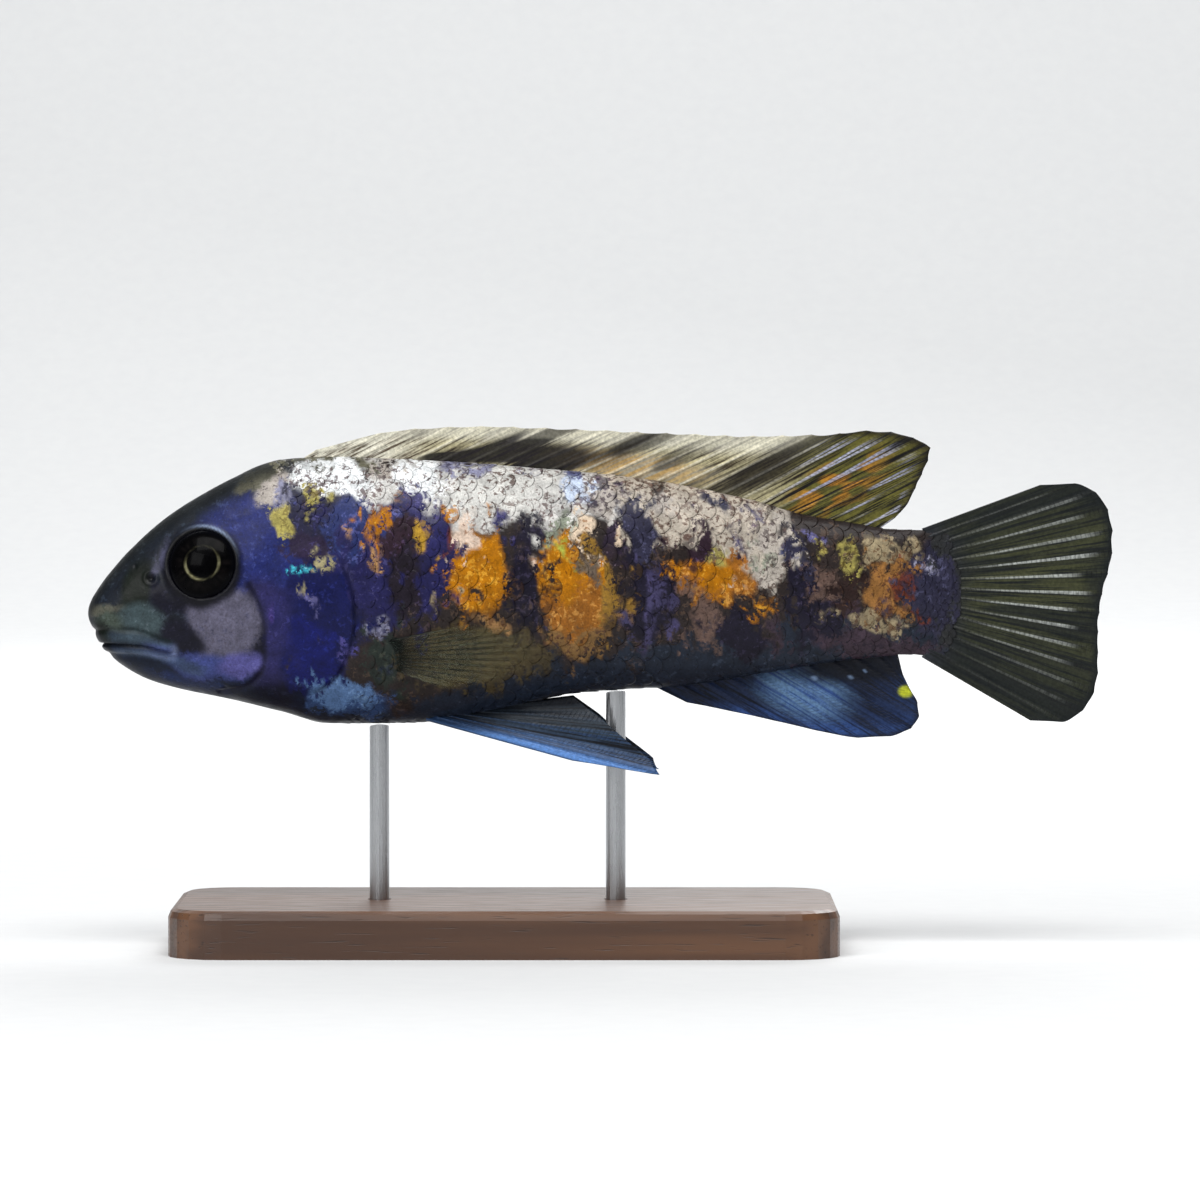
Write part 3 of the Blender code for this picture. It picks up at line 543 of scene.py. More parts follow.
FLANK_PATCHES = [
    ("belly", 75.0, -10.5, 42.0, 5.0, 9),
    ("back_white", 50.0, 14.2, 24.0, 4.4, -2), ("cream_white", 78.0, 10.6, 13.0, 4.6, -26),
    ("shoulder", 30.0, 3.0, 9.5, 9.5, 0), ("opercle", 28.6, -3.0, 5.6, 9.6, 0),
    ("temple", 23.0, 6.8, 5.2, 4.4, 20), ("plum", 28.2, 7.4, 2.6, 2.0, -8),
    ("deep_indigo", 39.5, 4.5, 7.0, 8.0, -6),
    ("breast", 33.0, -12.9, 5.6, 3.2, -4), ("belly", 36.0, -15.8, 14.0, 1.6, 0),
    ("belly", 56.0, -12.2, 12.0, 2.6, 12), ("olive_brown", 47.6, -7.4, 8.6, 3.4, 4),
    ("olive_nape", 30.1, 17.6, 7.0, 0.9, -3), ("olive_nape", 22.0, 15.6, 3.4, 1.2, 30),
    ("speckled_white", 31.2, 14.8, 5.1, 2.4, 0), ("grey_speckle", 23.6, 13.9, 2.8, 1.7, 35),
    ("yellow_olive", 24.6, 10.6, 1.4, 1.0, 30), ("speckled_white", 42.5, 15.9, 3.6, 2.5, 0),
    ("lilac_grey", 24.9, 12.9, 1.3, 1.7, 0), ("yellow_olive", 28.9, 12.3, 1.0, 1.1, 0),
    ("yellow_olive", 25.2, 9.6, 1.6, 1.3, 0), ("violet_bar", 33.4, 8.9, 2.8, 4.1, -10),
    ("deep_indigo", 32.5, 6.7, 1.3, 3.0, -12), ("violet_bar", 35.0, 9.6, 1.3, 2.9, -10),
    ("grey_speckle", 37.5, 16.9, 1.5, 1.1, 0), ("indigo_spot", 41.1, 12.4, 2.0, 2.3, -15),
    ("orange", 37.2, 8.9, 1.0, 2.8, -8), ("tan", 36.4, 5.1, 0.8, 1.3, 0),
    ("maroon", 39.1, 7.4, 1.4, 3.0, 0), ("yellow", 41.0, 7.7, 0.8, 2.2, 0),
    ("deep_indigo", 43.9, 6.0, 1.9, 6.6, -6), ("orange", 45.1, 11.3, 0.8, 0.8, 0),
    ("red_brown", 45.5, 8.6, 0.5, 1.4, 0), ("maroon_black", 40.2, 1.3, 2.8, 4.1, 0),
    ("lilac_grey", 37.0, -2.8, 1.2, 1.2, 0), ("cream_olive", 30.8, 5.1, 1.0, 1.3, 0),
    ("indigo_purple", 23.7, -1.3, 0.5, 1.4, 0), ("deep_blue", 28.4, -6.5, 4.1, 4.4, 0),
    # The small violet spot at 33.5 along is a painted highlight on the gill cover's free edge.
    ("violet", 33.5, -6.1, 0.6, 1.0, 0), ("steel_blue", 32.1, -11.2, 4.1, 2.2, 0),
    ("green_black", 37.7, -7.2, 1.9, 2.9, 0), ("lilac_grey", 51.2, 17.2, 5.5, 1.0, -3),
    ("band_white", 51.9, 14.0, 7.2, 3.0, 5), ("ice_white", 61.5, 14.1, 1.9, 2.3, 0),
    ("grey_speckle", 65.4, 13.6, 2.0, 3.2, 0), ("dark_speck", 65.7, 15.2, 1.0, 1.0, 0),
    ("dark_speck", 63.9, 12.4, 1.0, 0.8, 0), ("orange", 49.7, 3.6, 3.4, 5.8, 0),
    ("pink_white", 47.6, 8.9, 1.6, 2.5, 0), ("tan", 51.4, -3.2, 1.5, 1.1, 0),
    ("indigo_spot", 52.6, 10.8, 1.4, 1.0, 0), ("dark_bar", 56.7, 9.3, 1.9, 2.5, 0),
    ("dark_bar", 55.8, 1.5, 2.2, 5.3, -3), ("brown", 58.6, -4.4, 0.9, 1.3, 0),
    ("olive_brown", 56.6, -7.6, 1.9, 2.3, 0), ("tan_brown", 62.0, -3.4, 3.7, 3.8, 0),
    ("burnt_orange", 61.8, -0.6, 3.2, 3.2, 0),
    ("orange", 60.4, 4.7, 2.5, 4.3, 0), ("yellow_green", 61.1, 6.5, 0.5, 1.1, 0),
    ("grey_brown", 63.4, 3.6, 1.4, 1.8, 0), ("ochre_olive", 65.9, 1.3, 1.4, 4.4, 0),
    ("pink_cream", 63.3, 8.4, 1.3, 2.0, 0), ("grey_green", 60.5, 10.1, 1.0, 1.3, 0),
    ("cream_white", 69.5, 14.1, 2.4, 1.5, 0), ("cream_white", 75.1, 10.3, 3.2, 4.1, -25),
    ("cream_white", 81.8, 8.2, 3.8, 4.3, -30), ("grey_white", 87.0, 7.2, 3.0, 4.6, -20),
    ("slate_indigo", 80.0, 12.6, 2.2, 0.8, -15), ("dark_speck", 66.6, 8.2, 1.1, 2.0, 0),
    ("dark_bar", 69.4, 7.6, 2.0, 3.8, -8), ("dark_bar", 71.3, 0.3, 3.3, 5.4, -8),
    ("grey_violet", 71.5, -0.3, 1.1, 6.3, -8), ("maroon", 77.7, 7.0, 1.8, 2.3, 0),
    ("burnt_orange", 79.9, 2.3, 5.0, 2.8, 0), ("orange", 79.5, 2.7, 3.2, 1.9, 0),
    ("burnt_orange", 82.9, 5.3, 0.8, 1.5, 0),
    ("yellow_olive", 80.4, 5.6, 0.8, 1.3, 0), ("orange", 86.0, -0.4, 1.0, 0.9, 0),
    ("pink_brown", 78.2, -3.8, 1.6, 3.6, 0), ("dark_bar", 82.7, -4.3, 3.3, 3.0, 0),
    ("purple_brown", 87.0, -4.1, 1.4, 2.7, 0), ("lilac", 92.6, 7.9, 0.9, 0.8, 0),
    ("blue_grey", 89.5, 5.7, 1.3, 0.9, 0), ("dark_bar", 90.3, 1.0, 1.3, 7.6, 0),
    ("dark_bar", 93.1, -2.3, 2.4, 4.4, 0), ("yellow_olive", 96.5, 5.3, 1.3, 2.4, 0),
    ("pink_brown", 93.1, 2.3, 1.5, 2.2, 0), ("dark_brown", 96.6, 0.4, 2.8, 2.7, 0),
    ("orange_brown", 101.7, 1.3, 2.4, 3.6, 0), ("pale_cream", 101.0, 6.3, 1.4, 1.5, 0),
    ("pale_cream", 104.2, 6.2, 1.4, 1.6, 0), ("red_brown", 104.1, 1.5, 1.0, 1.9, 0),
    ("pale_cream", 100.2, -3.2, 3.9, 1.1, 0), ("slate_indigo", 107.2, 1.6, 2.7, 5.4, 0),
    ("root_grey", 109.8, 1.0, 2.3, 9.6, 0), ("slate_indigo", 108.2, 1.3, 2.4, 4.4, 0),
    ("pale_lilac", 107.4, 4.4, 0.5, 0.9, 10),
    ("purple_brown", 100.0, -6.0, 8.0, 1.6, 0),
    ("turquoise", 26.6, 3.8, 0.7, 0.3, 15), ("turquoise", 28.6, 4.2, 0.8, 0.35, -10),
    ("lilac", 28.8, 0.6, 0.4, 0.35, 0), ("lilac", 29.9, -0.9, 0.35, 0.35, 0),
    ("pale_cream", 48.3, 0.6, 0.5, 0.4, 0), ("pale_cream", 48.2, 1.0, 0.4, 0.4, 0),
    ("pink_white", 57.1, 4.9, 0.5, 0.7, 0), ("slate_indigo", 70.0, 11.4, 2.1, 2.8, -8),
    ("maroon", 77.1, 6.6, 1.7, 2.3, 0), ("grey_speckle", 73.2, 12.6, 1.1, 1.2, 0),
    ("pink_brown", 74.3, 7.6, 0.4, 1.3, 0), ("dark_speck", 82.9, 9.8, 0.8, 0.9, 0),
    ("grey_violet", 84.3, 11.2, 1.2, 0.45, -15), ("grey_speckle", 85.4, 8.6, 1.0, 1.6, -20),
    ("dark_bar", 89.4, 8.8, 1.4, 1.0, 0), ("grey_green", 85.6, 6.0, 0.6, 1.2, 0),
    ("dark_speck", 65.9, 15.0, 1.1, 0.9, 0), ("blue_grey", 61.6, 16.3, 1.5, 0.5, 0),
    ("slate_indigo", 71.3, 8.2, 1.9, 3.0, -8), ("slate_indigo", 90.3, 6.2, 1.3, 2.2, 0),
]
SHIFT, STRETCH = (2.6, 1.4), 0.22
LARGE_PATCH = 6.0
MARBLES, MARBLE_REACH, MARBLE_HALF = 520, (1.2, 4.0), (0.15, 0.55)
MARBLES_ALONG, MARBLE_DRAWN_OUT, MARBLE_TILT = (25.0, 108.0), (1.0, 2.6), (-25, 25)
# Softness of a patch's edge on the head's ground, on the flank and on the head, in millimetres
EDGES = (1.4, 0.35, 0.75)


def varied(patches, seed):
    """The patches of the other side: each one but the largest moved and stretched a little."""
    draw = np.random.default_rng(seed)
    made = []
    for finish, along, up, length, height, tilt in patches:
        moved = draw.uniform(-1, 1, 4) * (length < LARGE_PATCH)
        made.append((finish, along + SHIFT[0] * moved[0], up + SHIFT[1] * moved[1],
                     length * (1 + STRETCH * moved[2]), height * (1 + STRETCH * moved[3]), tilt))
    return made


def topmost(patches, along, up):
    """The finish of the highest patch over a place."""
    for finish, centre, height, long_half, high_half, tilt in reversed(patches):
        if math.hypot((along - centre) / long_half, (up - height) / high_half) < 1:
            return finish
    return "flank"


def marbled(patches, seed):
    """The patches and small marbles over them, each in the finish of a place a short way off."""
    draw = np.random.default_rng(seed)
    marbles = []
    for along in draw.uniform(*MARBLES_ALONG, MARBLES):
        up = draw.uniform(0.8 * BELLY(along), 0.97 * BACK(along))
        reach, turn = draw.uniform(*MARBLE_REACH), draw.uniform(0, 2 * math.pi)
        finish = topmost(patches, along + reach * math.cos(turn), up + reach * math.sin(turn))
        half = draw.uniform(*MARBLE_HALF)
        height = half * draw.uniform(*MARBLE_DRAWN_OUT)
        marbles.append((finish, along, up, half, height, draw.uniform(*MARBLE_TILT)))
    return patches + marbles


def layered(flank):
    """All patches of a side, from the lowest up, each with the softness of its edge in millimetres."""
    layers = zip((HEAD_BASE, flank, HEAD_PATCHES), EDGES)
    return [(*patch, edge) for patches, edge in layers for patch in patches]


PATCHES = {LEFT: layered(marbled(FLANK_PATCHES, 17)),
           RIGHT: layered(marbled(varied(FLANK_PATCHES, 7), 18))}
print(len(HEAD_PATCHES), "patches on the head,", len(FLANK_PATCHES), "on each flank")

# %% [markdown]
# A patch has to end in a ragged, half-soft edge, as pigment cells do. So before a place is tested
# against the ellipses it is pushed about by three sizes of noise, drawn out upwards because blotches
# on the flank run up and down. The push is less on the head, whose marks are smoother. Each corner
# of a mesh keeps three colours and a number: the skin's colour, the fleck's colour, the colour a
# short way off, which strays over the border as single cells do, and the share of flecks. The shader
# breaks them up further, finer than any mesh. Where the two sides meet on the back and belly their
# patterns are blended over about a millimetre.

# %% Painting places
# Grain size and push of each noise, in millimetres
WARPS = [(4.5, 1.1), (1.8, 0.85), (0.8, 0.5)]
STRAY_WARP = (1.3, 2.0)
STRETCH_UP = np.array([1.0, 0.55, 1.0])
HEAD_CALM, CALM_FROM, CALM_TO = 0.3, 20.0, 27.0
SIDES_BLEND, SIDES_APART = 0.6, 50.0


def painted_side(along, up, side, stray):
    """Colour, fleck colour and fleck share on one side, as seven columns."""
    places = np.stack([along, up, np.full_like(along, SIDES_APART * side)], axis=-1) * STRETCH_UP
    calm = HEAD_CALM + (1 - HEAD_CALM) * smooth(CALM_FROM, CALM_TO, along)
    warps = WARPS + [STRAY_WARP] * stray
    for number, (size, push) in enumerate(warps):
        along = along + calm * push * swing(places, size, 10 + number)
        up = up + calm * push * swing(places, size, 20 + number)
    paint = np.tile(PAINTS["flank"], (len(along), 1))
    for finish, centre, height, long_half, high_half, tilt, edge in PATCHES[side]:
        turn = math.radians(tilt)
        near = np.abs(along - centre) < 1.6 * (long_half + high_half)
        x, y = along[near] - centre, up[near] - height
        lengthwise = (x * math.cos(turn) + y * math.sin(turn)) / long_half
        crosswise = (y * math.cos(turn) - x * math.sin(turn)) / high_half
        from_edge = (np.hypot(lengthwise, crosswise) - 1) * min(long_half, high_half)
        softness = edge * min(1.0, 0.4 + min(long_half, high_half) / 4)
        share = smooth(softness, -softness, from_edge)[:, None]
        paint[near] += share * (PAINTS[finish] - paint[near])
    return paint


def painted(points, stray=False):
    """The paint at points of the body, given in metres."""
    along, out, up = on_fish(points).T
    blend = smooth(-SIDES_BLEND, SIDES_BLEND, out)[:, None]
    left, right = (painted_side(along, up, side, stray) for side in (LEFT, RIGHT))
    return left * (1 - blend) + right * blend


def store(mesh, name, values):
    """Keeps one value or one colour for each point of a mesh."""
    values = np.asarray(values, np.float32)
    if values.ndim == 1:
        mesh.attributes.new(name, "FLOAT", "POINT").data.foreach_set("value", values)
    else:
        solid = np.column_stack([values, np.ones(len(values))]).astype(np.float32)
        layer = mesh.attributes.new(name, "FLOAT_COLOR", "POINT")
        layer.data.foreach_set("color", solid.ravel())


def store_paint(mesh, paint, stray):
    store(mesh, "paint", paint[:, :3])
    store(mesh, "fleck", paint[:, 3:6])
    store(mesh, "fleck_share", paint[:, 6])
    store(mesh, "stray", stray[:, :3])


print("paint at the middle of the first orange patch:",
      np.round(painted(place(49.7, -8.0, 3.6)[None])[0, :3], 2))

# %% [markdown]
# Head, jaw, gill covers, trunk and tail stem are one unbroken skin on the living fish. So one mesh
# replaces these six solids: rings of points from the tip of the snout to the rounded end of the tail
# stem, a little inside the solids so that the scales have room. The rings are close together on the
# head, where the mouth, orbits and gill covers are modelled, and wider apart on the flank, which the
# scales will cover. The rings of the tail stem are squeezed up so that the last one follows the
# rounded end.

# %% Rings of the skin
RING_POINTS = 240
COAT_DEPTH = 0.14
SNOUT_END, SNOUT_RINGS = 12.0, 105
HEAD_END, HEAD_STEP, TRUNK_STEP = 36.0, 0.22, 0.46
TAIL_START = 100.0


def stations():
    snout = SNOUT_END * (np.arange(1, SNOUT_RINGS) / SNOUT_RINGS) ** 2
    head = np.arange(SNOUT_END, HEAD_END, HEAD_STEP)
    return np.concatenate([snout, head, np.arange(HEAD_END, BODY_END, TRUNK_STEP)])


def plain_skin():
    """Points in millimetres as rings by points by 3, and the turn of each point of a ring."""
    turns = -math.pi / 2 + 2 * math.pi * np.arange(RING_POINTS) / RING_POINTS
    along, turn = np.meshgrid(stations(), turns, indexing="ij")
    out, up = section(along, turn)
    share = np.clip((along - TAIL_START) / (stations()[-1] - TAIL_START), 0, 1)
    squeezed = TAIL_START + share * (tail_end(up) - TAIL_START)
    along = np.where(along > TAIL_START, squeezed, along)
    out, up = section(along, turn)
    return np.stack([along, out, up], axis=-1), turns


def grid_normals(grid):
    """Outward directions of a grid of rings."""
    before, after = np.roll(grid, 1, axis=1), np.roll(grid, -1, axis=1)
    around = after - before
    lengthwise = np.gradient(grid, axis=0)
    normals = np.cross(around, lengthwise)
    return normals / np.maximum(np.linalg.norm(normals, axis=-1, keepdims=True), 1e-9)


skin_grid, skin_turns = plain_skin()
skin_normals = grid_normals(skin_grid)
print("rings:", len(skin_grid), "outward check:", np.round(skin_normals[200, RING_POINTS // 2], 2))

# %% [markdown]
# The mouth is level and sits under an overhanging snout. Two soft lips roll along a fine gap, a
# groove lies over the upper lip and one under the lower, and all of it fades out at a dimple in the
# corner of the mouth. Sculpting by hand would do, but a formula on the height above the mouth line
# is exact, and both sides match.

# %% Mouth
MOUTH_LINE = through([(0.0, -5.55), (4.0, -5.6), (7.2, -5.75), (10.8, -6.45), (13.0, -6.3)])
MOUTH_CORNER = 11.0
UPPER_LIP = through([(0.0, 1.5), (3.0, 1.85), (6.0, 2.0), (8.2, 1.65), (9.8, 1.4), (12.0, 1.0)])
LOWER_LIP = through([(0.0, 1.0), (4.0, 1.2), (8.0, 1.1), (12.0, 0.7)])
UPPER_ROLL, LOWER_ROLL, LIP_GROOVE = 0.24, 0.2, 0.14
SLIT_DEPTH, SLIT_HALF = 0.5, 0.13
DIMPLE_DEPTH, DIMPLE_RADIUS = 0.25, 0.5


def mouth_relief(along, up):
    above = up - MOUTH_LINE(along)
    upper, lower = UPPER_LIP(along), LOWER_LIP(along)
    fade = smooth(MOUTH_CORNER + 0.9, MOUTH_CORNER - 0.9, along)
    gap_fade = smooth(MOUTH_CORNER + 0.4, MOUTH_CORNER - 0.2, along)
    upper_roll = np.clip(above / upper, 0, 1)
    lower_roll = np.clip(-above / lower, 0, 1)
    relief = UPPER_ROLL * np.sin(math.pi * upper_roll ** 0.8) * (above > 0)
    relief += LOWER_ROLL * np.sin(math.pi * lower_roll ** 0.8) * (above < 0)
    relief -= LIP_GROOVE * hump(above - upper - 0.1, 0.32)
    relief -= LIP_GROOVE * hump(above + lower + 0.15, 0.36)
    corner = np.hypot(along - MOUTH_CORNER - 0.3, (above + 0.1) / 1.5)
    slit = SLIT_DEPTH * hump(above, SLIT_HALF) * gap_fade
    return relief * fade - slit - DIMPLE_DEPTH * hump(corner, DIMPLE_RADIUS)


print("gap at the middle of the mouth:", float(mouth_relief(np.array(6.0), MOUTH_LINE(6.0))), "mm")

# %% [markdown]
# The eye sits in an orbit that the skin closes round with a low rim. Cichlids have no lids and one
# nostril on each side. Under the eye and along the cheek run small sensory pores. All of them are
# round, so the distance from their middle gives their form.

# %% Orbit, nostril and pores
EYE_AT, EYE_RADIUS, EYE_DEPTH, EYE_SUNK = (14.8, 4.75), 4.6, 2.3, 1.0
ORBIT_RADIUS, ORBIT_DEPTH, ORBIT_RIM = 4.2, 2.2, 0.13
NOSTRIL_AT, NOSTRIL_RADIUS, NOSTRIL_DEPTH = (8.3, 3.0), 0.42, 0.55
PORE_RADIUS, PORE_DEPTH = 0.22, 0.14
PORES = [(9.6, -1.2), (11.2, -2.3), (13.2, -2.7), (15.4, -2.4), (17.4, -1.5), (21.6, 1.4),
         (21.9, -2.2), (21.8, -6.0), (20.6, -9.0), (17.6, -10.9), (6.2, 4.4), (11.4, 8.6)]


def away(middle, along, up):
    """How far places lie from one place."""
    return np.hypot(along - middle[0], up - middle[1])


def orbit_relief(along, up):
    radius = away(EYE_AT, along, up)
    relief = -ORBIT_DEPTH * smooth(ORBIT_RADIUS + 0.05, ORBIT_RADIUS - 0.5, radius)
    relief += ORBIT_RIM * hump(radius - ORBIT_RADIUS - 0.35, 0.35)
    return relief - 0.06 * hump(radius - ORBIT_RADIUS - 1.3, 0.45)


def nostril_relief(along, up):
    radius = away(NOSTRIL_AT, along, up)
    return -NOSTRIL_DEPTH * hump(radius, NOSTRIL_RADIUS) + 0.12 * hump(radius - 0.75, 0.25)


def pore_relief(along, up):
    relief = np.zeros(along.shape)
    for pore in PORES:
        relief -= PORE_DEPTH * hump(away(pore, along, up), PORE_RADIUS)
    return relief


print("pores on the head:", len(PORES))

# %% [markdown]
# The cheek ends at a curved groove, and behind it lies the gill cover, flush in front and standing
# free at its rear edge, with thin folds of throat skin below it. Their borders are smooth lines
# through a few points, and the relief follows from how far a place lies from such a line.

# %% Cheek and gill cover
CHEEK_GROOVE = [(20.9, 2.4), (22.4, -0.8), (22.9, -4.6), (22.6, -8.2), (20.8, -10.6), (16.8, -11.6)]
GILL_OUTLINE = [
    (23.2, 4.6), (26.0, 7.4), (29.2, 7.7), (31.9, 5.8), (33.6, 2.2), (34.2, -1.8), (33.6, -5.8),
    (32.0, -9.2), (29.2, -11.4), (25.7, -12.0), (23.2, -10.8), (22.6, -6.0), (22.7, 0.0),
]
GILL_RISE, GILL_SEAM = 0.3, 0.12
CHEEK_PUFF, CHEEK_DEPTH = 0.25, 0.22
FOLD_RISE, FOLD_LENGTH = 0.09, 0.95


def rounded(points, closed, steps=14):
    """A smooth line through a few points."""
    points = np.array(points, float)
    count = len(points)
    line = []
    for i in range(count if closed else count - 1):
        a, b, c, d = (points[j % count] if closed else points[min(max(j, 0), count - 1)]
                      for j in (i - 1, i, i + 1, i + 2))
        for t in np.arange(steps) / steps:
            line.append(0.5 * (2 * b + (c - a) * t + (2 * a - 5 * b + 4 * c - d) * t * t
                               + (3 * b - a - 3 * c + d) * t**3))
    return np.array(line)


def distance_to(line, along, up, closed):
    """How far places lie from a line of short straight steps."""
    ends = np.roll(line, -1, axis=0) if closed else line[1:]
    starts = line if closed else line[:-1]
    nearest = np.full(along.shape, 1e9)
    for (x0, y0), (x1, y1) in zip(starts, ends):
        x, y = x1 - x0, y1 - y0
        share = np.clip(((along - x0) * x + (up - y0) * y) / max(x * x + y * y, 1e-9), 0, 1)
        nearest = np.minimum(nearest, np.hypot(along - x0 - share * x, up - y0 - share * y))
    return nearest


def inside_of(line, along, up):
    """True where a place lies inside a closed line."""
    inside = np.zeros(along.shape, bool)
    for (x0, y0), (x1, y1) in zip(line, np.roll(line, -1, axis=0)):
        crosses = (y0 > up) != (y1 > up)
        inside ^= crosses & (along < x0 + (up - y0) * (x1 - x0) / (y1 - y0 + 1e-12))
    return inside


GILL_LINE = rounded(GILL_OUTLINE, True)
CHEEK_LINE = rounded(CHEEK_GROOVE, False)


def standing_free(along, up):
    """How free the gill cover's edge stands: 0 in front and at the top, 1 at the rear."""
    return smooth(25.5, 31.5, along) * smooth(6.5, 2.5, up)


def gill_relief(along, up):
    distance = distance_to(GILL_LINE, along, up, True)
    inside = inside_of(GILL_LINE, along, up)
    free = standing_free(along, up)
    start, stop = GILL_OUTLINE[0][0], GILL_OUTLINE[5][0]
    rise = GILL_RISE * np.clip((along - start) / (stop - start), 0, 1)
    relief = np.where(inside, rise * smooth(0.0, 1.6 - 1.2 * free, distance), 0.0)
    relief -= np.where(inside, 0.0, 0.3 * hump(distance - 0.15, 0.25)) * free
    seam = up - (-7.0 - 0.18 * (along - 24.0))
    return relief - GILL_SEAM * hump(seam, 0.2) * inside * smooth(24.0, 26.0, along)


def cheek_relief(along, up):
    distance = distance_to(CHEEK_LINE, along, up, False)
    puff = CHEEK_PUFF * hump(np.hypot((along - 17.6) / 1.1, (up + 4.2) / 1.5), 3.4)
    folds = up + 12.6 + 0.19 * (along - 15.0)
    under = smooth(0.2, -0.6, folds) * smooth(14.0, 17.0, along) * smooth(33.0, 29.0, along)
    throat = FOLD_RISE * under * np.sin(2 * math.pi * folds / FOLD_LENGTH)
    return puff - CHEEK_DEPTH * hump(distance, 0.26) + throat


print("gill cover", round(float(np.ptp(GILL_LINE[:, 1])), 1), "mm high")

# %% [markdown]
# All relief is added along the skin's own normals, so a pit goes straight in wherever it lies. A
# slow swell of noise keeps large surfaces from looking machined.

# %% Relief of the skin
def swell(points):
    """The slow waves of the skin, which the scales follow too."""
    return (swing(points.reshape(-1, 3), 7.0, 31) * 0.1).reshape(points.shape[:-1])


def wave_relief(points):
    finer = swing(points.reshape(-1, 3), 2.6, 32) * 0.035
    return swell(points) + finer.reshape(points.shape[:-1])


def formed_skin():
    along, out, up = np.moveaxis(skin_grid, -1, 0)
    relief = wave_relief(skin_grid) - COAT_DEPTH
    head = along < HEAD_END
    at, height = along[head], up[head]
    relief[head] += mouth_relief(at, height) + orbit_relief(at, height) + nostril_relief(at, height)
    relief[head] += pore_relief(at, height) + gill_relief(at, height) + cheek_relief(at, height)
    return skin_grid + skin_normals * relief[..., None]


formed_grid = formed_skin()
print("deepest relief:", round(float(np.abs(formed_grid - skin_grid).max()), 2), "mm")

# %% [markdown]
# The rings become one closed mesh: a fan closes the snout, and rows of quads from side to side close
# the tail end. Its unwrap is a plain roll, along the fish one way and round it the other, cut along
# the belly, because a fish is nearly a tube.

# %% Mesh of the skin
UNWRAP_START, UNWRAP_SPAN = 0.01, 0.98


def skin_unwrap(along, turn):
    """The place of a point on the skin's unwrap: along the fish one way and round it the other."""
    share = (turn + math.pi / 2) / (2 * math.pi)
    return np.stack([UNWRAP_START + UNWRAP_SPAN * along / BODY_END,
                     UNWRAP_START + UNWRAP_SPAN * share], axis=-1)


def close_ends(rings):
    """Faces that close the snout with a fan and the tail end with quads from side to side."""
    last = 1 + (rings - 1) * RING_POINTS
    faces = [(0, 1 + (i + 1) % RING_POINTS, 1 + i) for i in range(RING_POINTS)]
    for i in range(RING_POINTS // 2):
        mirror, before = (RING_POINTS - i) % RING_POINTS, RING_POINTS - i - 1
        corners = [last + i, last + i + 1, last + before, last + mirror]
        faces.append(tuple(dict.fromkeys(corners)))
    return faces


def face_outward(mesh):
    """Turns every face so that its outside shows."""
    work = bmesh.new()
    work.from_mesh(mesh)
    bmesh.ops.recalc_face_normals(work, faces=work.faces)
    work.to_mesh(mesh)
    work.free()


def corner_uvs(mesh, flat):
    """Places on the unwrap for the mesh's face corners, from those of its points."""
    corners = np.empty(len(mesh.loops), np.int32)
    mesh.loops.foreach_get("vertex_index", corners)
    return flat[corners]


def store_uvs(mesh, uvs):
    layer = mesh.uv_layers.new(name="OFBake")
    layer.data.foreach_set("uv", uvs.astype(np.float32).ravel())


def close_seam(mesh, uvs):
    """Moves corners at the start of the unwrap to its end where their face lies at the end."""
    counts = np.empty(len(mesh.polygons), np.int32)
    mesh.polygons.foreach_get("loop_total", counts)
    owner = np.repeat(np.arange(len(counts)), counts)
    highest = np.full(len(counts), -1.0)
    np.maximum.at(highest, owner, uvs[:, 1])
    seam = (highest[owner] > 0.9) & (uvs[:, 1] < 0.1)
    uvs[seam, 1] += UNWRAP_SPAN
    return uvs


def add_skin(grid):
    points = np.concatenate([[[COAT_DEPTH, 0.0, float(LEVEL(0.0))]], grid.reshape(-1, 3)])
    faces = close_ends(len(grid)) + grid_faces(len(grid), RING_POINTS, True, 1)
    made = new_piece("skin", place(*points.T), faces)
    face_outward(made.data)
    turns = np.concatenate([[0.0], np.tile(skin_turns, len(grid))])
    flat = skin_unwrap(points[:, 0], turns)
    store_uvs(made.data, close_seam(made.data, corner_uvs(made.data, flat)))
    return made


skin = add_skin(formed_grid)
print("skin:", len(skin.data.polygons), "faces")

# %% [markdown]
# Paint on the head needs a few marks finer than the patches: painted highlights along the bluish
# lips, painted shade in the groove over the upper lip and in the gap of the mouth, the indigo field
# behind the cheek, a painted shadow under the eye and a painted highlight on the rim over it,
# painted shade in the pit of the nostril, the dark crown, partly its own colour and partly painted
# shade, the dark throat, and painted shade in the grooves of cheek and gill cover and in the pores.
# They come from the same lines as the relief, so colour and form agree.

# %% Paint of the head
def tint(paint, share, colour, flecks=None):
    """Blends a colour over the paint, and over its flecks too."""
    share = np.clip(share, 0, 1)[:, None]
    target = ink(*colour)
    paint[:, :3] += share * (target - paint[:, :3])
    lighter = target if flecks is None else ink(*flecks)
    paint[:, 3:6] += share * (lighter - paint[:, 3:6])


CHEEK_REAR = through([(0.0, 20.8), (2.4, 22.6), (6.0, 22.9), (9.8, 22.4), (13.0, 20.9)])
CHEEK_LOW = -10.6
# So far from a groove, in millimetres, that none of its painted shade shows
FAR = 9.0


def paint_behind_cheek(points, paint):
    """The indigo field between the cheek and the gill cover."""
    along, out, up = on_fish(points).T
    wander = 1.6 * swing(points / MM, 1.8, 35)
    behind = smooth(-0.3, 0.3, along - CHEEK_REAR(up - CHEEK_LOW)) * smooth(27.0, 23.4, along + wander)
    behind *= smooth(CHEEK_LOW - 1.0, CHEEK_LOW + 2.0, up) * smooth(4.5, 1.0, up)
    tint(paint, 0.85 * behind, (42, 40, 88), (64, 60, 116))


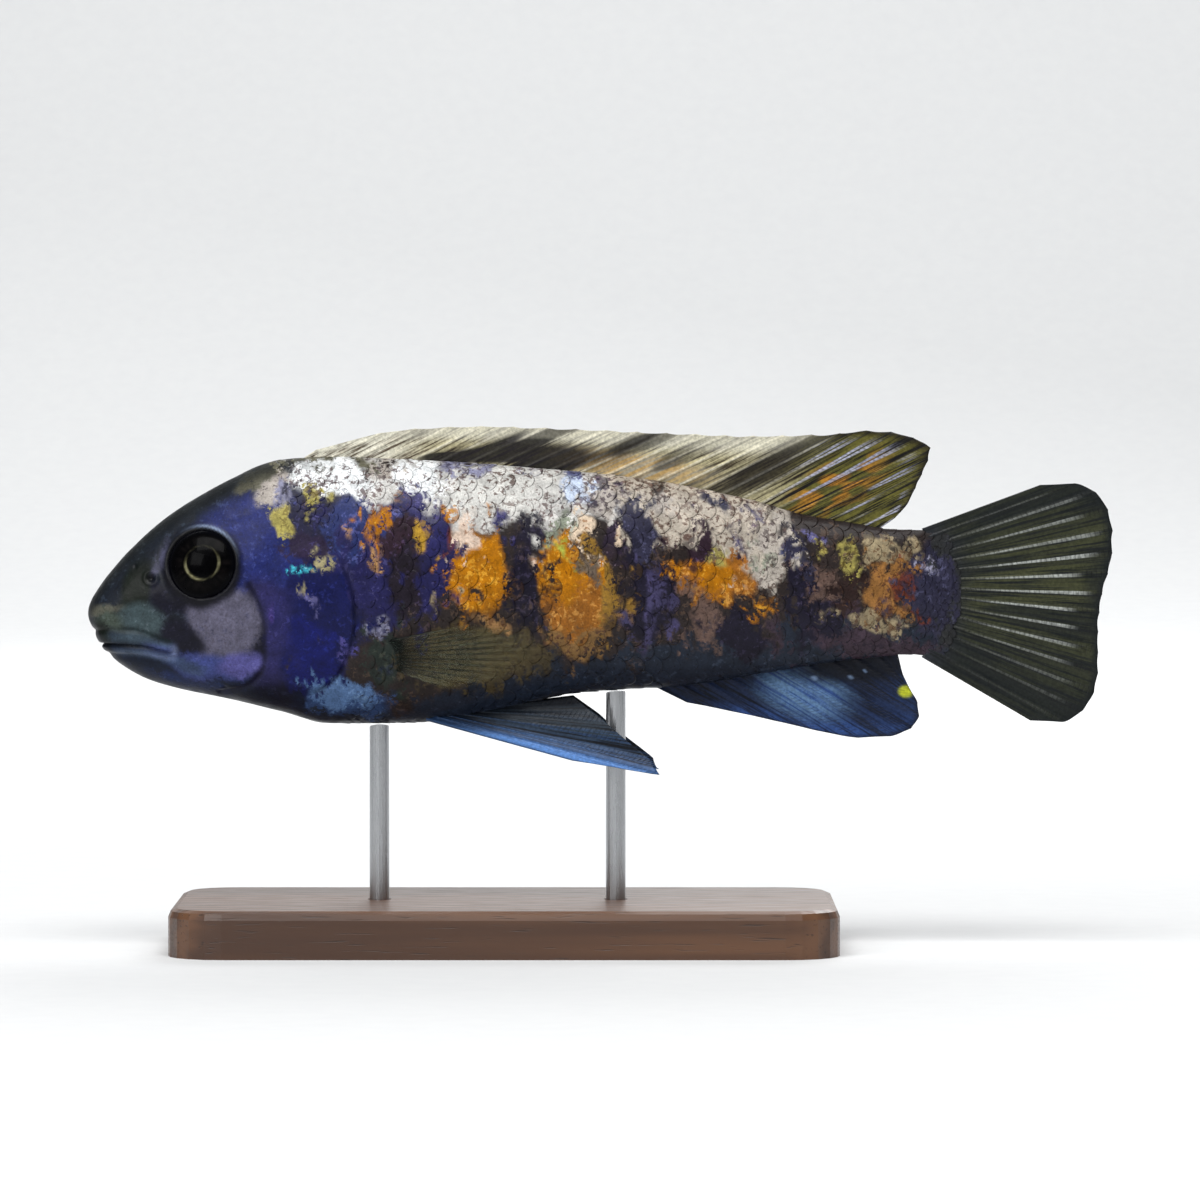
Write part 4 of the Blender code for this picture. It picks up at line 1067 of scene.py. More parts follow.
def paint_mouth(along, up, paint):
    """Lips with painted highlights on them, painted shade in the groove over them and in the slit,
    and the pale skin at the corner.
    """
    above, upper = up - MOUTH_LINE(along), UPPER_LIP(along)
    front = smooth(MOUTH_CORNER + 0.8, MOUTH_CORNER - 0.4, along)
    pale, rear_lip = front * smooth(1.5, 5.5, along), front * smooth(6.4, 9.4, along)
    # Painted highlights along the middle of the upper lip and of the lower lip, bluish grey.
    tint(paint, pale * 0.75 * hump(above - 0.5 * upper, 0.35 * upper), (66, 82, 94))
    tint(paint, front * smooth(2.6, 4.6, along) * 0.8 * hump(above + 0.8, 0.4), (70, 84, 106))
    # Painted shade in the groove over the upper lip.
    tint(paint, front * smooth(3.4, 5.2, along) * 0.75 * hump(above - upper - 0.15, 0.3), (14, 28, 32))
    # The bluish rear of the upper lip, its own colour, and a painted highlight along the rear of the
    # lower lip.
    tint(paint, 0.7 * rear_lip * hump(above - 0.3, 0.5), (70, 82, 138))
    tint(paint, 0.75 * rear_lip * hump(above + 0.75, 0.32), (102, 118, 160))
    corner = np.hypot((along - MOUTH_CORNER - 0.25) / 0.5, (above - 0.1) / 0.75)
    tint(paint, 0.8 * hump(corner, 0.9), (116, 128, 166))
    # Painted shade in the gap of the mouth.
    slit = hump(above, SLIT_HALF + 0.16 * smooth(5.0, 2.0, along))
    tint(paint, front * (0.85 - 0.6 * smooth(6.0, 8.0, along)) * slit, (10, 12, 16))


def paint_orbit(along, up, paint):
    """The dark orbit, a painted shadow on the skin below it and a painted highlight on the rim
    over the eye.
    """
    radius = away(EYE_AT, along, up)
    facing = np.arctan2(up - EYE_AT[1], along - EYE_AT[0])
    tint(paint, 0.97 * smooth(5.0, 4.5, radius), (5, 5, 8))
    # Painted shadow on the skin below the eye.
    below = smooth(0.8, -1.8, up - EYE_AT[1])
    tint(paint, 0.9 * below * smooth(5.7, 4.7, radius), (12, 12, 20))
    # Painted highlight where the rim over the eye catches the light.
    tint(paint, 0.85 * hump(facing - 1.2, 0.6) * hump(radius - 4.78, 0.15), (128, 144, 172))


def paint_crown_shade_and_throat(along, up, paint):
    # Darker along the top of the head: partly the crown's own colour and partly painted shade.
    crown = smooth(3.0, 0.8, BACK(along) - up) * smooth(31.0, 24.0, along)
    tint(paint, 0.85 * crown, (24, 27, 28), (40, 44, 44))
    throat = smooth(2.0, 0.5, up - BELLY(along)) * smooth(36.0, 30.0, along)
    tint(paint, 0.8 * throat, (10, 16, 30), (24, 32, 52))


def paint_groove_shade(along, up, paint):
    """Painted shade in the groove behind the cheek and painted shadow round the free edge of the
    gill cover.
    """
    head = along < HEAD_END
    cheek, gill = np.full(len(along), FAR), np.full(len(along), FAR)
    cheek[head] = distance_to(CHEEK_LINE, along[head], up[head], False)
    gill[head] = distance_to(GILL_LINE, along[head], up[head], True)
    # Painted shade in the cheek's groove, and painted shadow where the gill cover's edge stands free.
    tint(paint, 0.7 * hump(cheek, 0.35), (18, 18, 40))
    tint(paint, 0.5 * hump(gill, 0.35) * standing_free(along, up), (14, 16, 40))


def paint_head(points, paint):
    along, out, up = on_fish(points).T
    paint_behind_cheek(points, paint)
    paint_mouth(along, up, paint)
    paint_orbit(along, up, paint)
    # Painted shade in the pit of the nostril.
    tint(paint, 0.8 * hump(away(NOSTRIL_AT, along, up), 0.5), (8, 8, 12))
    paint_crown_shade_and_throat(along, up, paint)
    paint_groove_shade(along, up, paint)
    # Painted shade in the pits of the pores.
    for pore in PORES:
        tint(paint, 0.5 * hump(away(pore, along, up), PORE_RADIUS), (14, 14, 24))


print("marks of the head ready")

# %% [markdown]
# The paint is worked out once for each point of the skin and kept there, for the shader to read.

# %% Paint on the skin
def mesh_points(mesh):
    points = np.empty(len(mesh.vertices) * 3, np.float32)
    mesh.vertices.foreach_get("co", points)
    return points.reshape(-1, 3).astype(float)


skin_points = mesh_points(skin.data)
skin_paint, skin_stray = painted(skin_points), painted(skin_points, True)
paint_head(skin_points, skin_paint)
paint_head(skin_points, skin_stray)
store_paint(skin.data, skin_paint, skin_stray)
print("mean colour of the skin:", np.round(skin_paint[:, :3].mean(axis=0), 3))

# %% [markdown]
# Wet skin is a soft, coloured base under a thin clear film of slime. The shader gives it both: a
# satin base whose roughness wanders a little, and a thin coat on top for the small sharp
# highlights. Noise finer than the mesh draws the flecks: where it passes a limit that the share of
# flecks sets, the fleck's colour shows. More noise lets strays of the next patch through, sets dark
# pinholes, which are single pigment cells, and makes the whole a little lighter and darker.

# %% Finish of wet skin
FLECK_SIZE, PINHOLE_COLOUR = 0.7, (136, 104, 94)


def marked_colour(tree, fleck_weight, pinholes):
    """The stored paint, broken up by strays, flecks and pinholes and by a finer change of tone."""
    strays = tree.remap(tree.noise(0.8, 3.0, rough=0.65), 0.48, 0.54)
    paint = tree.mix(strays, tree.attribute("paint", "Color"), tree.attribute("stray", "Color"))
    grains = tree.noise(FLECK_SIZE, 3.0, rough=0.62, warp=0.4)
    limit = tree.remap(tree.attribute("fleck_share"), 0.0, 1.0, 0.72, 0.38, smooth=False)
    crowd = tree.remap(tree.noise(3.2, 2.0), 0.3, 0.7, 0.07, -0.07, smooth=False)
    over = tree.sum("SUBTRACT", grains, tree.sum("ADD", limit, crowd))
    shows = tree.remap(over, -0.03, 0.05)
    colour = tree.mix(tree.times(shows, fleck_weight), paint, tree.attribute("fleck", "Color"))
    dots = tree.remap(tree.noise(0.5, 2.0, rough=0.5), 0.6, 0.68)
    colour = tree.mix(tree.times(dots, pinholes), colour, rgb(*PINHOLE_COLOUR), "MULTIPLY")
    fine = tree.remap(tree.noise(0.3, 2.0, rough=0.7), 0.25, 0.75, 0.78, 1.2)
    return tree.shaded(colour, tree.times(fine, tree.remap(tree.noise(1.6, 3.0), 0.3, 0.7, 0.78, 1.14)))


def wet_skin(name, fleck_weight, pinholes, pore_depth):
    tree = Tree(name)
    colour = marked_colour(tree, fleck_weight, pinholes)
    rough = tree.remap(tree.noise(1.3, 3.0), 0.3, 0.7, 0.34, 0.5)
    pores = tree.sum("ADD", tree.noise(0.35, 3.0), tree.times(tree.noise(1.1, 2.0), 1.2))
    normal = tree.bump(pores, pore_depth, 0.7)
    return tree.finish(Base_Color=colour, Roughness=rough, Normal=normal, Coat_Weight=0.05,
                       Coat_Roughness=0.12, Specular_IOR_Level=0.13)


skin.data.materials.append(wet_skin("head_and_body_skin", 0.7, 0.25, 0.05))
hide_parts("fish_head", "fish_lower_jaw", "fish_gill_cover_left", "fish_gill_cover_right",
            "fish_trunk", "fish_tail_stem")
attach(skin, "root")
print("skin finish done")

# %% [markdown]
# Behind the head the fish wears scales: thin, rounded plates, each rooted under the ones in front of
# it, in slanting rows like roof tiles. They could be bump in the shader, but real plates catch the
# light along their free edges from every side. First a map of the flank is needed: how far along
# the fish, and how far over the skin from the widest level. A table holds it, and any place on it
# is read by blending the table's nearest entries.

# %% Map of the flank
MAP_STEP = 0.25
MAP_ALONG = np.arange(16.0, BODY_END, MAP_STEP)
MAP_REACH = 30.0
MAP_ARC = np.arange(-MAP_REACH, MAP_REACH, MAP_STEP)
MAP_TURNS = np.linspace(-math.radians(150), math.radians(150), 601)


def flank_map():
    """Right-side points, normals and turns, by place along and by distance from the widest level."""
    points = np.zeros((len(MAP_ALONG), len(MAP_ARC), 3))
    turns = np.zeros((len(MAP_ALONG), len(MAP_ARC)))
    level = len(MAP_TURNS) // 2
    for i, along in enumerate(MAP_ALONG):
        out, up = section(np.full(len(MAP_TURNS), along), MAP_TURNS)
        arc = np.concatenate([[0.0], np.cumsum(np.hypot(np.diff(out), np.diff(up)))])
        arc -= arc[level]
        points[i, :, 0] = along
        points[i, :, 1] = np.interp(MAP_ARC, arc, out)
        points[i, :, 2] = np.interp(MAP_ARC, arc, up)
        turns[i] = np.interp(MAP_ARC, arc, MAP_TURNS)
    along_way, arc_way = np.gradient(points, axis=0), np.gradient(points, axis=1)
    normals = np.cross(along_way, arc_way)
    normals *= np.sign(normals[:, len(MAP_ARC) // 2, 1])[:, None, None]
    normals /= np.maximum(np.linalg.norm(normals, axis=-1, keepdims=True), 1e-9)
    return points, normals, turns


MAP_POINTS, MAP_NORMALS, MAP_TURN = flank_map()
ARC_TOP = np.array([np.interp(math.pi / 2, row, MAP_ARC) for row in MAP_TURN])
ARC_BOTTOM = np.array([np.interp(-math.pi / 2, row, MAP_ARC) for row in MAP_TURN])


def read_map(table, along, arc):
    """Blends the four nearest entries of a table of the flank."""
    x = np.clip((along - MAP_ALONG[0]) / MAP_STEP, 0, len(MAP_ALONG) - 1.001)
    y = np.clip((arc - MAP_ARC[0]) / MAP_STEP, 0, len(MAP_ARC) - 1.001)
    i, j = x.astype(int), y.astype(int)
    p, q = x - i, y - j
    if table.ndim == 3:
        p, q = p[..., None], q[..., None]
    return (table[i, j] * (1 - p) * (1 - q) + table[i + 1, j] * p * (1 - q)
            + table[i, j + 1] * (1 - p) * q + table[i + 1, j + 1] * p * q)


print("skin from belly to back at the deepest place:",
      round(float(np.max(ARC_TOP - ARC_BOTTOM)), 1), "mm")

# %% [markdown]
# Such a fish has about 31 scales in a row from the gill cover to the tail, some 2.3 mm apart in the
# middle of the flank and closer on the narrow tail stem. Rows are offset by half a scale. The breast,
# the nape and the root of the tail fin have smaller ones. The head, seen in the picture, is bare.
# Each root is moved and each size changed a little by a seeded draw.

# %% Where the scales are rooted
PITCH, ROW_PITCH, SMALL_SHARE = 2.35, 2.1, 0.56
PITCH_SHARE = through([(18.0, 0.8), (32.0, 0.92), (45.0, 1.0), (70.0, 0.98), (90.0, 0.9),
                       (105.0, 0.78), (BODY_END, 0.72)])
HEAD_LIMIT = through([(0.0, 32.0), (4.0, 34.2), (14.0, 35.0), (22.0, 33.2), (25.5, 28.0),
                      (30.0, 25.5), (35.0, 22.5)])
HEAD_LIMIT_LOW = -16.0
FIRST_COLUMN, TAIL_OVERLAP, GILL_MARGIN = 19.0, 0.8, 0.9
ROOT_SCATTER, SIZE_SPREAD = 0.045, (0.95, 1.05)
SCALE_SEED = 41


def small_zone(along, up):
    """True where the scales are the small ones of breast, nape and tail root."""
    breast = up < -10.8 + 0.02 * (along - 34.0) - np.maximum(along - 40.0, 0) * 0.35
    nape = (along < 31.5) & (up > 8.0)
    return breast | nape | (along > 105.5)


def roots(share, seed):
    """(along, arc) of every scale on one side, and each one's size in millimetres."""
    draw = np.random.default_rng(seed)
    columns = [FIRST_COLUMN]
    while columns[-1] < BODY_END:
        columns.append(columns[-1] + 0.5 * PITCH * share * float(PITCH_SHARE(columns[-1])))
    found = []
    for i, along in enumerate(columns):
        size = share * float(PITCH_SHARE(along))
        top = np.interp(along, MAP_ALONG, ARC_TOP)
        bottom = np.interp(along, MAP_ALONG, ARC_BOTTOM)
        reach = int(MAP_REACH / (ROW_PITCH * size))
        for j in range(-reach, reach + 1):
            arc = j * ROW_PITCH * size
            if (i + j) % 2 == 0 and bottom - 0.3 < arc < top - 0.2:
                found.append((along, arc, size))
    found = np.array(found)
    found[:, :2] += draw.normal(0, ROOT_SCATTER, (len(found), 2))
    found[:, 2] *= draw.uniform(*SIZE_SPREAD, len(found))
    return found


def keep_roots(found, small):
    """Those of the roots that lie behind the head and in the right zone."""
    up = read_map(MAP_POINTS, found[:, 0], found[:, 1])[:, 2]
    along = found[:, 0]
    free = along > HEAD_LIMIT(up - HEAD_LIMIT_LOW)
    free &= along < tail_end(up) + TAIL_OVERLAP
    covered = distance_to(GILL_LINE, along, up, True) < GILL_MARGIN
    covered |= inside_of(GILL_LINE, along, up)
    return found[free & ~covered & (small_zone(along, up) == small)]


def scale_roots(seed):
    """Roots of the large scales and of the small ones."""
    large = keep_roots(roots(1.0, seed), False)
    small = keep_roots(roots(SMALL_SHARE, seed + 1), True)
    return large, small


print("scales on the left:", [len(part) for part in scale_roots(SCALE_SEED + LEFT)])

# %% [markdown]
# One scale is a round plate, drawn as rings of points round its middle. Its root dips into the skin
# and its free rear edge stands about a tenth of a millimetre off it, so that it overlaps the next
# ones. The small scales have fewer points, because nobody sees theirs one by one.

# %% One plate
PLATE_HALF_LENGTH, PLATE_HALF_HEIGHT = 1.52, 1.5
PLATE_THICKNESS, ROOT_SINK, EDGE_LIFT = 0.03, 0.06, 0.09
UNDERSIDE_SHARE, ROOT_PATCH = 0.97, 0.003


def plate(rings, sides):
    """Flat points (x back, y up) of the plate and its faces. The last points are its underside."""
    turns = 2 * math.pi * np.arange(sides) / sides
    radii = (np.arange(1, rings + 1) / rings) ** 0.8
    x = np.concatenate([[0.0], np.outer(radii, np.cos(turns)).ravel()])
    y = np.concatenate([[0.0], np.outer(radii, np.sin(turns)).ravel()])
    under = len(x)
    rim = np.arange(under - sides, under)
    x = np.concatenate([x, UNDERSIDE_SHARE * x[rim], [0.0]])
    y = np.concatenate([y, UNDERSIDE_SHARE * y[rim], [0.0]])
    faces = []
    for i in range(sides):
        after = (i + 1) % sides
        faces.append((0, 1 + i, 1 + after))
        faces.append((under + sides, under + after, under + i))
        for ring in range(rings - 1):
            near, far = 1 + ring * sides, 1 + (ring + 1) * sides
            faces.append((near + i, far + i, far + after))
            faces.append((near + i, far + after, near + after))
        outer = under - sides
        faces.append((outer + i, under + i, under + after))
        faces.append((outer + i, under + after, outer + after))
    is_under = np.arange(len(x)) >= under
    return np.column_stack([x, y]), np.array(faces), is_under


def plate_height(x, y, is_under):
    """How far a point of the plate stands off the skin, for x and y from -1 to 1."""
    tilt = -ROOT_SINK + (ROOT_SINK + EDGE_LIFT) * ((x + 1) / 2) ** 1.15
    rounding = 0.03 * smooth(0.7, 1.0, np.hypot(x, y))
    crown = 0.02 * (1 - y * y)
    return tilt + crown - rounding - PLATE_THICKNESS * is_under


LARGE_PLATE, SMALL_PLATE = (7, 28), (4, 16)
for size, (rings, sides) in (("large", LARGE_PLATE), ("small", SMALL_PLATE)):
    print("faces of one", size, "scale:", len(plate(rings, sides)[1]))

# %% [markdown]
# All scales of a size are made in one go by bending the same plate over the map of the flank, then
# joined in a few meshes a side, because more than a thousand objects would be slow. Each is turned
# and lifted a little by a seeded draw. On the unwrap it takes a tiny patch of its own, at the place
# of its root.

# %% Bend the plate over the flank many times
# Spin in radians and how much higher or lower a scale stands than the next
SCALE_SPIN, SCALE_LIFT = 0.05, (0.8, 1.25)


def bend_plates(found, side, rings, sides, seed):
    """Plates at their roots on one side, with what their paint needs to know of each point."""
    flat, faces, is_under = plate(rings, sides)
    draw = np.random.default_rng(seed)
    spin = draw.normal(0, SCALE_SPIN, len(found))
    lift = draw.uniform(*SCALE_LIFT, len(found))
    narrow = 1 - 0.1 * np.clip(-flat[:, 0], 0, 1)
    x, y = flat[:, 0], flat[:, 1] * narrow
    size = found[:, 2]
    turned_x = np.outer(np.cos(spin), x) - np.outer(np.sin(spin), y)
    turned_y = np.outer(np.sin(spin), x) + np.outer(np.cos(spin), y)
    along = found[:, :1] + turned_x * PLATE_HALF_LENGTH * size[:, None]
    arc = found[:, 1:2] + turned_y * PLATE_HALF_HEIGHT * size[:, None]
    height = plate_height(x, y, is_under)[None] * (lift * size)[:, None]
    points = read_map(MAP_POINTS, along, arc)
    normals = read_map(MAP_NORMALS, along, arc)
    points = points + normals * (height + swell(points) - COAT_DEPTH)[..., None]
    points[..., 1] *= side
    count = len(flat)
    all_faces = (faces[None] + count * np.arange(len(found))[:, None, None]).reshape(-1, 3)
    if side == LEFT:
        all_faces = all_faces[:, ::-1]
    front = found[:, 0] - PLATE_HALF_LENGTH * size
    turn = read_map(MAP_TURN, front, found[:, 1])
    turn = turn if side == RIGHT else math.pi - turn
    spot = skin_unwrap(front, turn)[:, None] + ROOT_PATCH / 2 * flat[None]
    rim = np.broadcast_to(np.hypot(flat[:, 0], flat[:, 1]), height.shape)
    back = np.broadcast_to(flat[:, 0], height.shape)
    tone = np.broadcast_to(draw.normal(0, 1, len(found))[:, None], height.shape)
    own = np.broadcast_to(draw.uniform(0, 1, len(found))[:, None] ** 1.5, height.shape)
    middles = np.repeat(points[:, :1], count, axis=1)
    return {"points": points.reshape(-1, 3), "faces": all_faces, "uv": spot.reshape(-1, 2),
            "rim": rim.ravel(), "back": back.ravel(), "tone": tone.ravel(), "own": own.ravel(),
            "middle": middles.reshape(-1, 3)}


trial = bend_plates(scale_roots(SCALE_SEED)[0][:1], LEFT, *LARGE_PLATE, 1)
print("points of one bent scale:", len(trial["points"]))

# %% [markdown]
# The scales carry the skin's own markings, read at each point of each plate, so that a blotch runs
# on from scale to scale. Yet each plate also keeps some colour of its own, that of its middle, and is
# a little lighter or darker than the next, so that blotches end in steps as on the living fish. Its
# root lies in the shade of the scale in front.

# %% Coats of scales
MOST_FACES = 200_000
OWN_COLOUR, SCALES_SPLIT = 0.75, 66.0


def scale_shade(rim, back, tone):
    """How light each point of a plate is beside the skin's own paint."""
    shade = 1 + 0.07 * tone - 0.13 * smooth(-0.1, -0.8, back)
    return shade - 0.06 * smooth(0.8, 0.98, rim) * smooth(-0.2, 0.4, back)


scale_finish = wet_skin("scale_enamel", 0.9, 0.7, 0.03)


def add_scales(name, plates):
    made = new_piece(name, place(*plates["points"].T), plates["faces"].tolist())
    store_uvs(made.data, corner_uvs(made.data, plates["uv"]))
    points = mesh_points(made.data)
    shade = scale_shade(plates["rim"], plates["back"], plates["tone"])[:, None]
    paint, stray = painted(points), painted(points, True)
    own = OWN_COLOUR * plates["own"][:, None]
    paint += own * (painted(place(*plates["middle"].T)) - paint)
    paint[:, :6] *= shade
    stray[:, :6] *= shade
    store_paint(made.data, np.clip(paint, 0, 1), np.clip(stray, 0, 1))
    made.data.materials.append(scale_finish)
    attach(made, "root")
    assert len(plates["faces"]) < MOST_FACES
    print(name, len(plates["faces"]), "faces")


for side, word in SIDES:
    large, small = scale_roots(SCALE_SEED + side)
    front, rear = large[large[:, 0] < SCALES_SPLIT], large[large[:, 0] >= SCALES_SPLIT]
    add_scales(f"scales_{word}_front", bend_plates(front, side, *LARGE_PLATE, 51))
    add_scales(f"scales_{word}_rear", bend_plates(rear, side, *LARGE_PLATE, 52))
    add_scales(f"scales_{word}_small", bend_plates(small, side, *SMALL_PLATE, 53))

# %% [markdown]
# The eye is the face of the fish. It is a flat black dome with a thin gold ring round the pupil,
# seen only in a few arcs that are painted as lit, the brightest below and in front. A real eye is a
# clear window over a painted ring. Here the painted dome itself gets a clear, hard coat, which looks
# the same from outside and keeps one closed form. It is turned from a profile, so its rings of
# points lie where the gold ring needs them.

# %% Eyes
PUPIL_RADIUS, GOLD_WIDTH, GOLD_OFF = 2.08, 0.16, (0.36, 0.02)
# Middle of each arc where the ring is painted as lit, in radians, its half width and how bright it is
GOLD_LIT_ARCS = [(-2.0, 0.5, 1.0), (-2.7, 0.6, 0.75), (-0.1, 0.75, 0.5), (1.0, 0.5, 0.12)]
EYE_RINGS, EYE_SIDES = 72, 128
# Room inside the solid eye, and how far the middle of the dome stands over it
EYE_ROOM, POLE_RISE = 0.06, 0.04
# Height and half width of the low ring that the iris lifts in the dome
IRIS_RISE, IRIS_HALF = 0.1, 1.9


def surface_normal(along, up):
    """The body's outward direction on the fish's right side, as (along, out, up)."""
    step = 0.2
    slope_along = (side_out(along + step, up) - side_out(along - step, up)) / (2 * step)
    slope_up = (side_out(along, up + step) - side_out(along, up - step)) / (2 * step)
    normal = np.array([-float(slope_along), 1.0, -float(slope_up)])
    return normal / np.linalg.norm(normal)


def eye_frame(side):
    """Centre of the eyeball, its outward direction, and its own forward and upward directions."""
    normal = surface_normal(*EYE_AT)
    centre = np.array([EYE_AT[0], float(side_out(*EYE_AT)), EYE_AT[1]]) - normal * EYE_SUNK
    up = np.array([0.0, 0.0, 1.0]) - normal * normal[2]
    up /= np.linalg.norm(up)
    along = np.cross(normal, up)
    along *= np.sign(along[0])
    flip = np.array([1.0, side, 1.0])
    return centre * flip, normal * flip, along * flip, up * flip


def eye_paint(x, y, radius):
    """Colour of the eye at flat places, in millimetres, seen from its own side."""
    ring_x, ring_y = x - GOLD_OFF[0], y - GOLD_OFF[1]
    from_pupil = np.hypot(ring_x, ring_y) - PUPIL_RADIUS
    facing = np.arctan2(ring_y, ring_x)
    colour = np.tile(ink(3, 3, 4), (len(x), 1))
    rays = grain(np.column_stack([facing * 9, radius * 0.8]), 1.0, 61)
    iris = smooth(0.1, 0.8, from_pupil) * smooth(1.9, 0.9, from_pupil)
    colour += (iris * rays ** 2 * 0.9)[:, None] * (ink(20, 17, 17) - colour)
    # The ring's bright arcs are painted light on its gold.
    around = np.full(len(x), 0.05)
    for middle, half, light in GOLD_LIT_ARCS:
        turned = np.angle(np.exp(1j * (facing - middle)))
        around = np.maximum(around, light * hump(turned, half))
    around = around * (0.7 + 0.4 * grain(facing[:, None] * 3.0, 1.0, 63))
    gold = hump(from_pupil - GOLD_WIDTH / 2, GOLD_WIDTH * (0.5 + 0.4 * around)) * around
    warmth = grain(np.column_stack([facing * 5, radius]), 0.6, 62)[:, None]
    bright = ink(178, 174, 136) * warmth + ink(132, 128, 92) * (1 - warmth)
    colour += gold[:, None] * (bright - colour)
    haze = 0.12 * smooth(3.6, 4.4, radius)
    return colour + haze[:, None] * (ink(24, 26, 40) - colour)


def add_eye(side, word):
    centre, outward, along, up = eye_frame(side)
    turns = np.linspace(0, math.pi, EYE_RINGS + 1)[1:-1]
    rounds = 2 * math.pi * np.arange(EYE_SIDES) / EYE_SIDES
    radius = (EYE_RADIUS - EYE_ROOM) * np.sin(turns)
    depth = (EYE_DEPTH - EYE_ROOM) * np.cos(turns)
    depth = depth + IRIS_RISE * hump(radius, IRIS_HALF) * (turns < math.pi / 2)
    x, y = np.outer(radius, np.cos(rounds)), np.outer(radius, np.sin(rounds))
    z = np.broadcast_to(depth[:, None], x.shape)
    poles = np.array([[0, 0, EYE_DEPTH + POLE_RISE], [0, 0, -EYE_DEPTH]])
    local = np.concatenate([poles, np.stack([x, y, z], axis=-1).reshape(-1, 3)])
    points = centre + local[:, :1] * along + local[:, 1:2] * up + local[:, 2:] * outward
    last = 2 + (len(turns) - 1) * EYE_SIDES
    faces = grid_faces(len(turns), EYE_SIDES, True, 2)
    for i in range(EYE_SIDES):
        after = (i + 1) % EYE_SIDES
        faces.append((0, 2 + after, 2 + i))
        faces.append((1, last + i, last + after))
    made = new_piece("eye_" + word, place(*points.T), faces)
    face_outward(made.data)
    flat_radius = np.hypot(local[:, 0], local[:, 1])
    store(made.data, "paint", eye_paint(local[:, 0], local[:, 1], flat_radius))
    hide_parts("fish_eye_" + word)
    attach(made, "root")
    return made


def eye_finish():
    tree = Tree("eye_under_clear_dome")
    colour = tree.mix(tree.noise(0.12, 2.0), tree.attribute("paint", "Color"), (0.0, 0.0, 0.0, 1.0))
    colour = tree.mix(0.75, colour, tree.attribute("paint", "Color"))
    rough = tree.remap(tree.noise(0.5, 2.0), 0.3, 0.7, 0.18, 0.3)
    return tree.finish(Base_Color=colour, Roughness=rough, Coat_Weight=0.025, Coat_Roughness=0.03,
                       Specular_IOR_Level=0.02)


eyeball = eye_finish()
for side, word in SIDES:
    made = add_eye(side, word)
    made.data.materials.append(eyeball)
    print(made.name, len(made.data.polygons), "faces")

# %% [markdown]
# Fins are thin skin stretched over rays. The front rays of the back, anal and pelvic fins are plain
# pointed spines. The others are soft rays, built of tiny links, that fork twice towards the edge.
# A fin's shape is given by the root and the tip of its rays, and every place on it lies between them.

# %% Rays of a fin
def ray_profile(offset, share, forks):
    """Height from 0 to 1 of a ray that forks, at an offset across it in ray spacings."""
    first = 0.15 * smooth(0.3, 0.85, share) * forks
    second = 0.075 * smooth(0.58, 1.0, share) * forks
    width = 0.13 - 0.06 * smooth(0.3, 1.0, share) * forks
    height = np.zeros(offset.shape)
    for one, two in itertools.product((-1, 1), (-1, 1)):
        height = np.maximum(height, hump(offset - one * first - two * second, width))
    return height


def keyed(keys, column):
    """The curve of one column of a list of keys over its first column."""
    return through([(key[0], key[column]) for key in keys])


def between(root, tip, share):
    """A place at a share of the way from a root to a tip."""
    return [a + (b - a) * share for a, b in zip(root, tip)]


def middle_path(root_at, tips):
    """Path of a fin in the middle plane. root_at(number) gives a ray's root as (along, up)."""
    def path(number, share):
        tip = [keyed(tips, column)(number) for column in (1, 2)]
        along, up = between(root_at(number), tip, share)
        return along, np.zeros_like(along), up

    return path


print("a ray at its root:", float(ray_profile(np.array(0.0), 0.0, 1.0)))

# %% [markdown]
# A fin here is one closed sheet: a fine grid between the same rays as in the solids, with the rays
# raised on both faces. Its edge is cut in a little between the rays and slightly torn. Modelling each
# ray as its own tube would leave seams where skin and ray meet.

# %% A sheet with rays in it
COLUMNS = 14
MEMBRANE_HALF, MARGIN_HALF = 0.13, 0.06


def rim_of(columns, rows):
    """The points round the edge of a grid, in order."""
    grid = np.arange(columns * rows).reshape(columns, rows)
    return np.concatenate([grid[:, 0], grid[-1, 1:], grid[-2::-1, -1], grid[0, -2:0:-1]]).tolist()


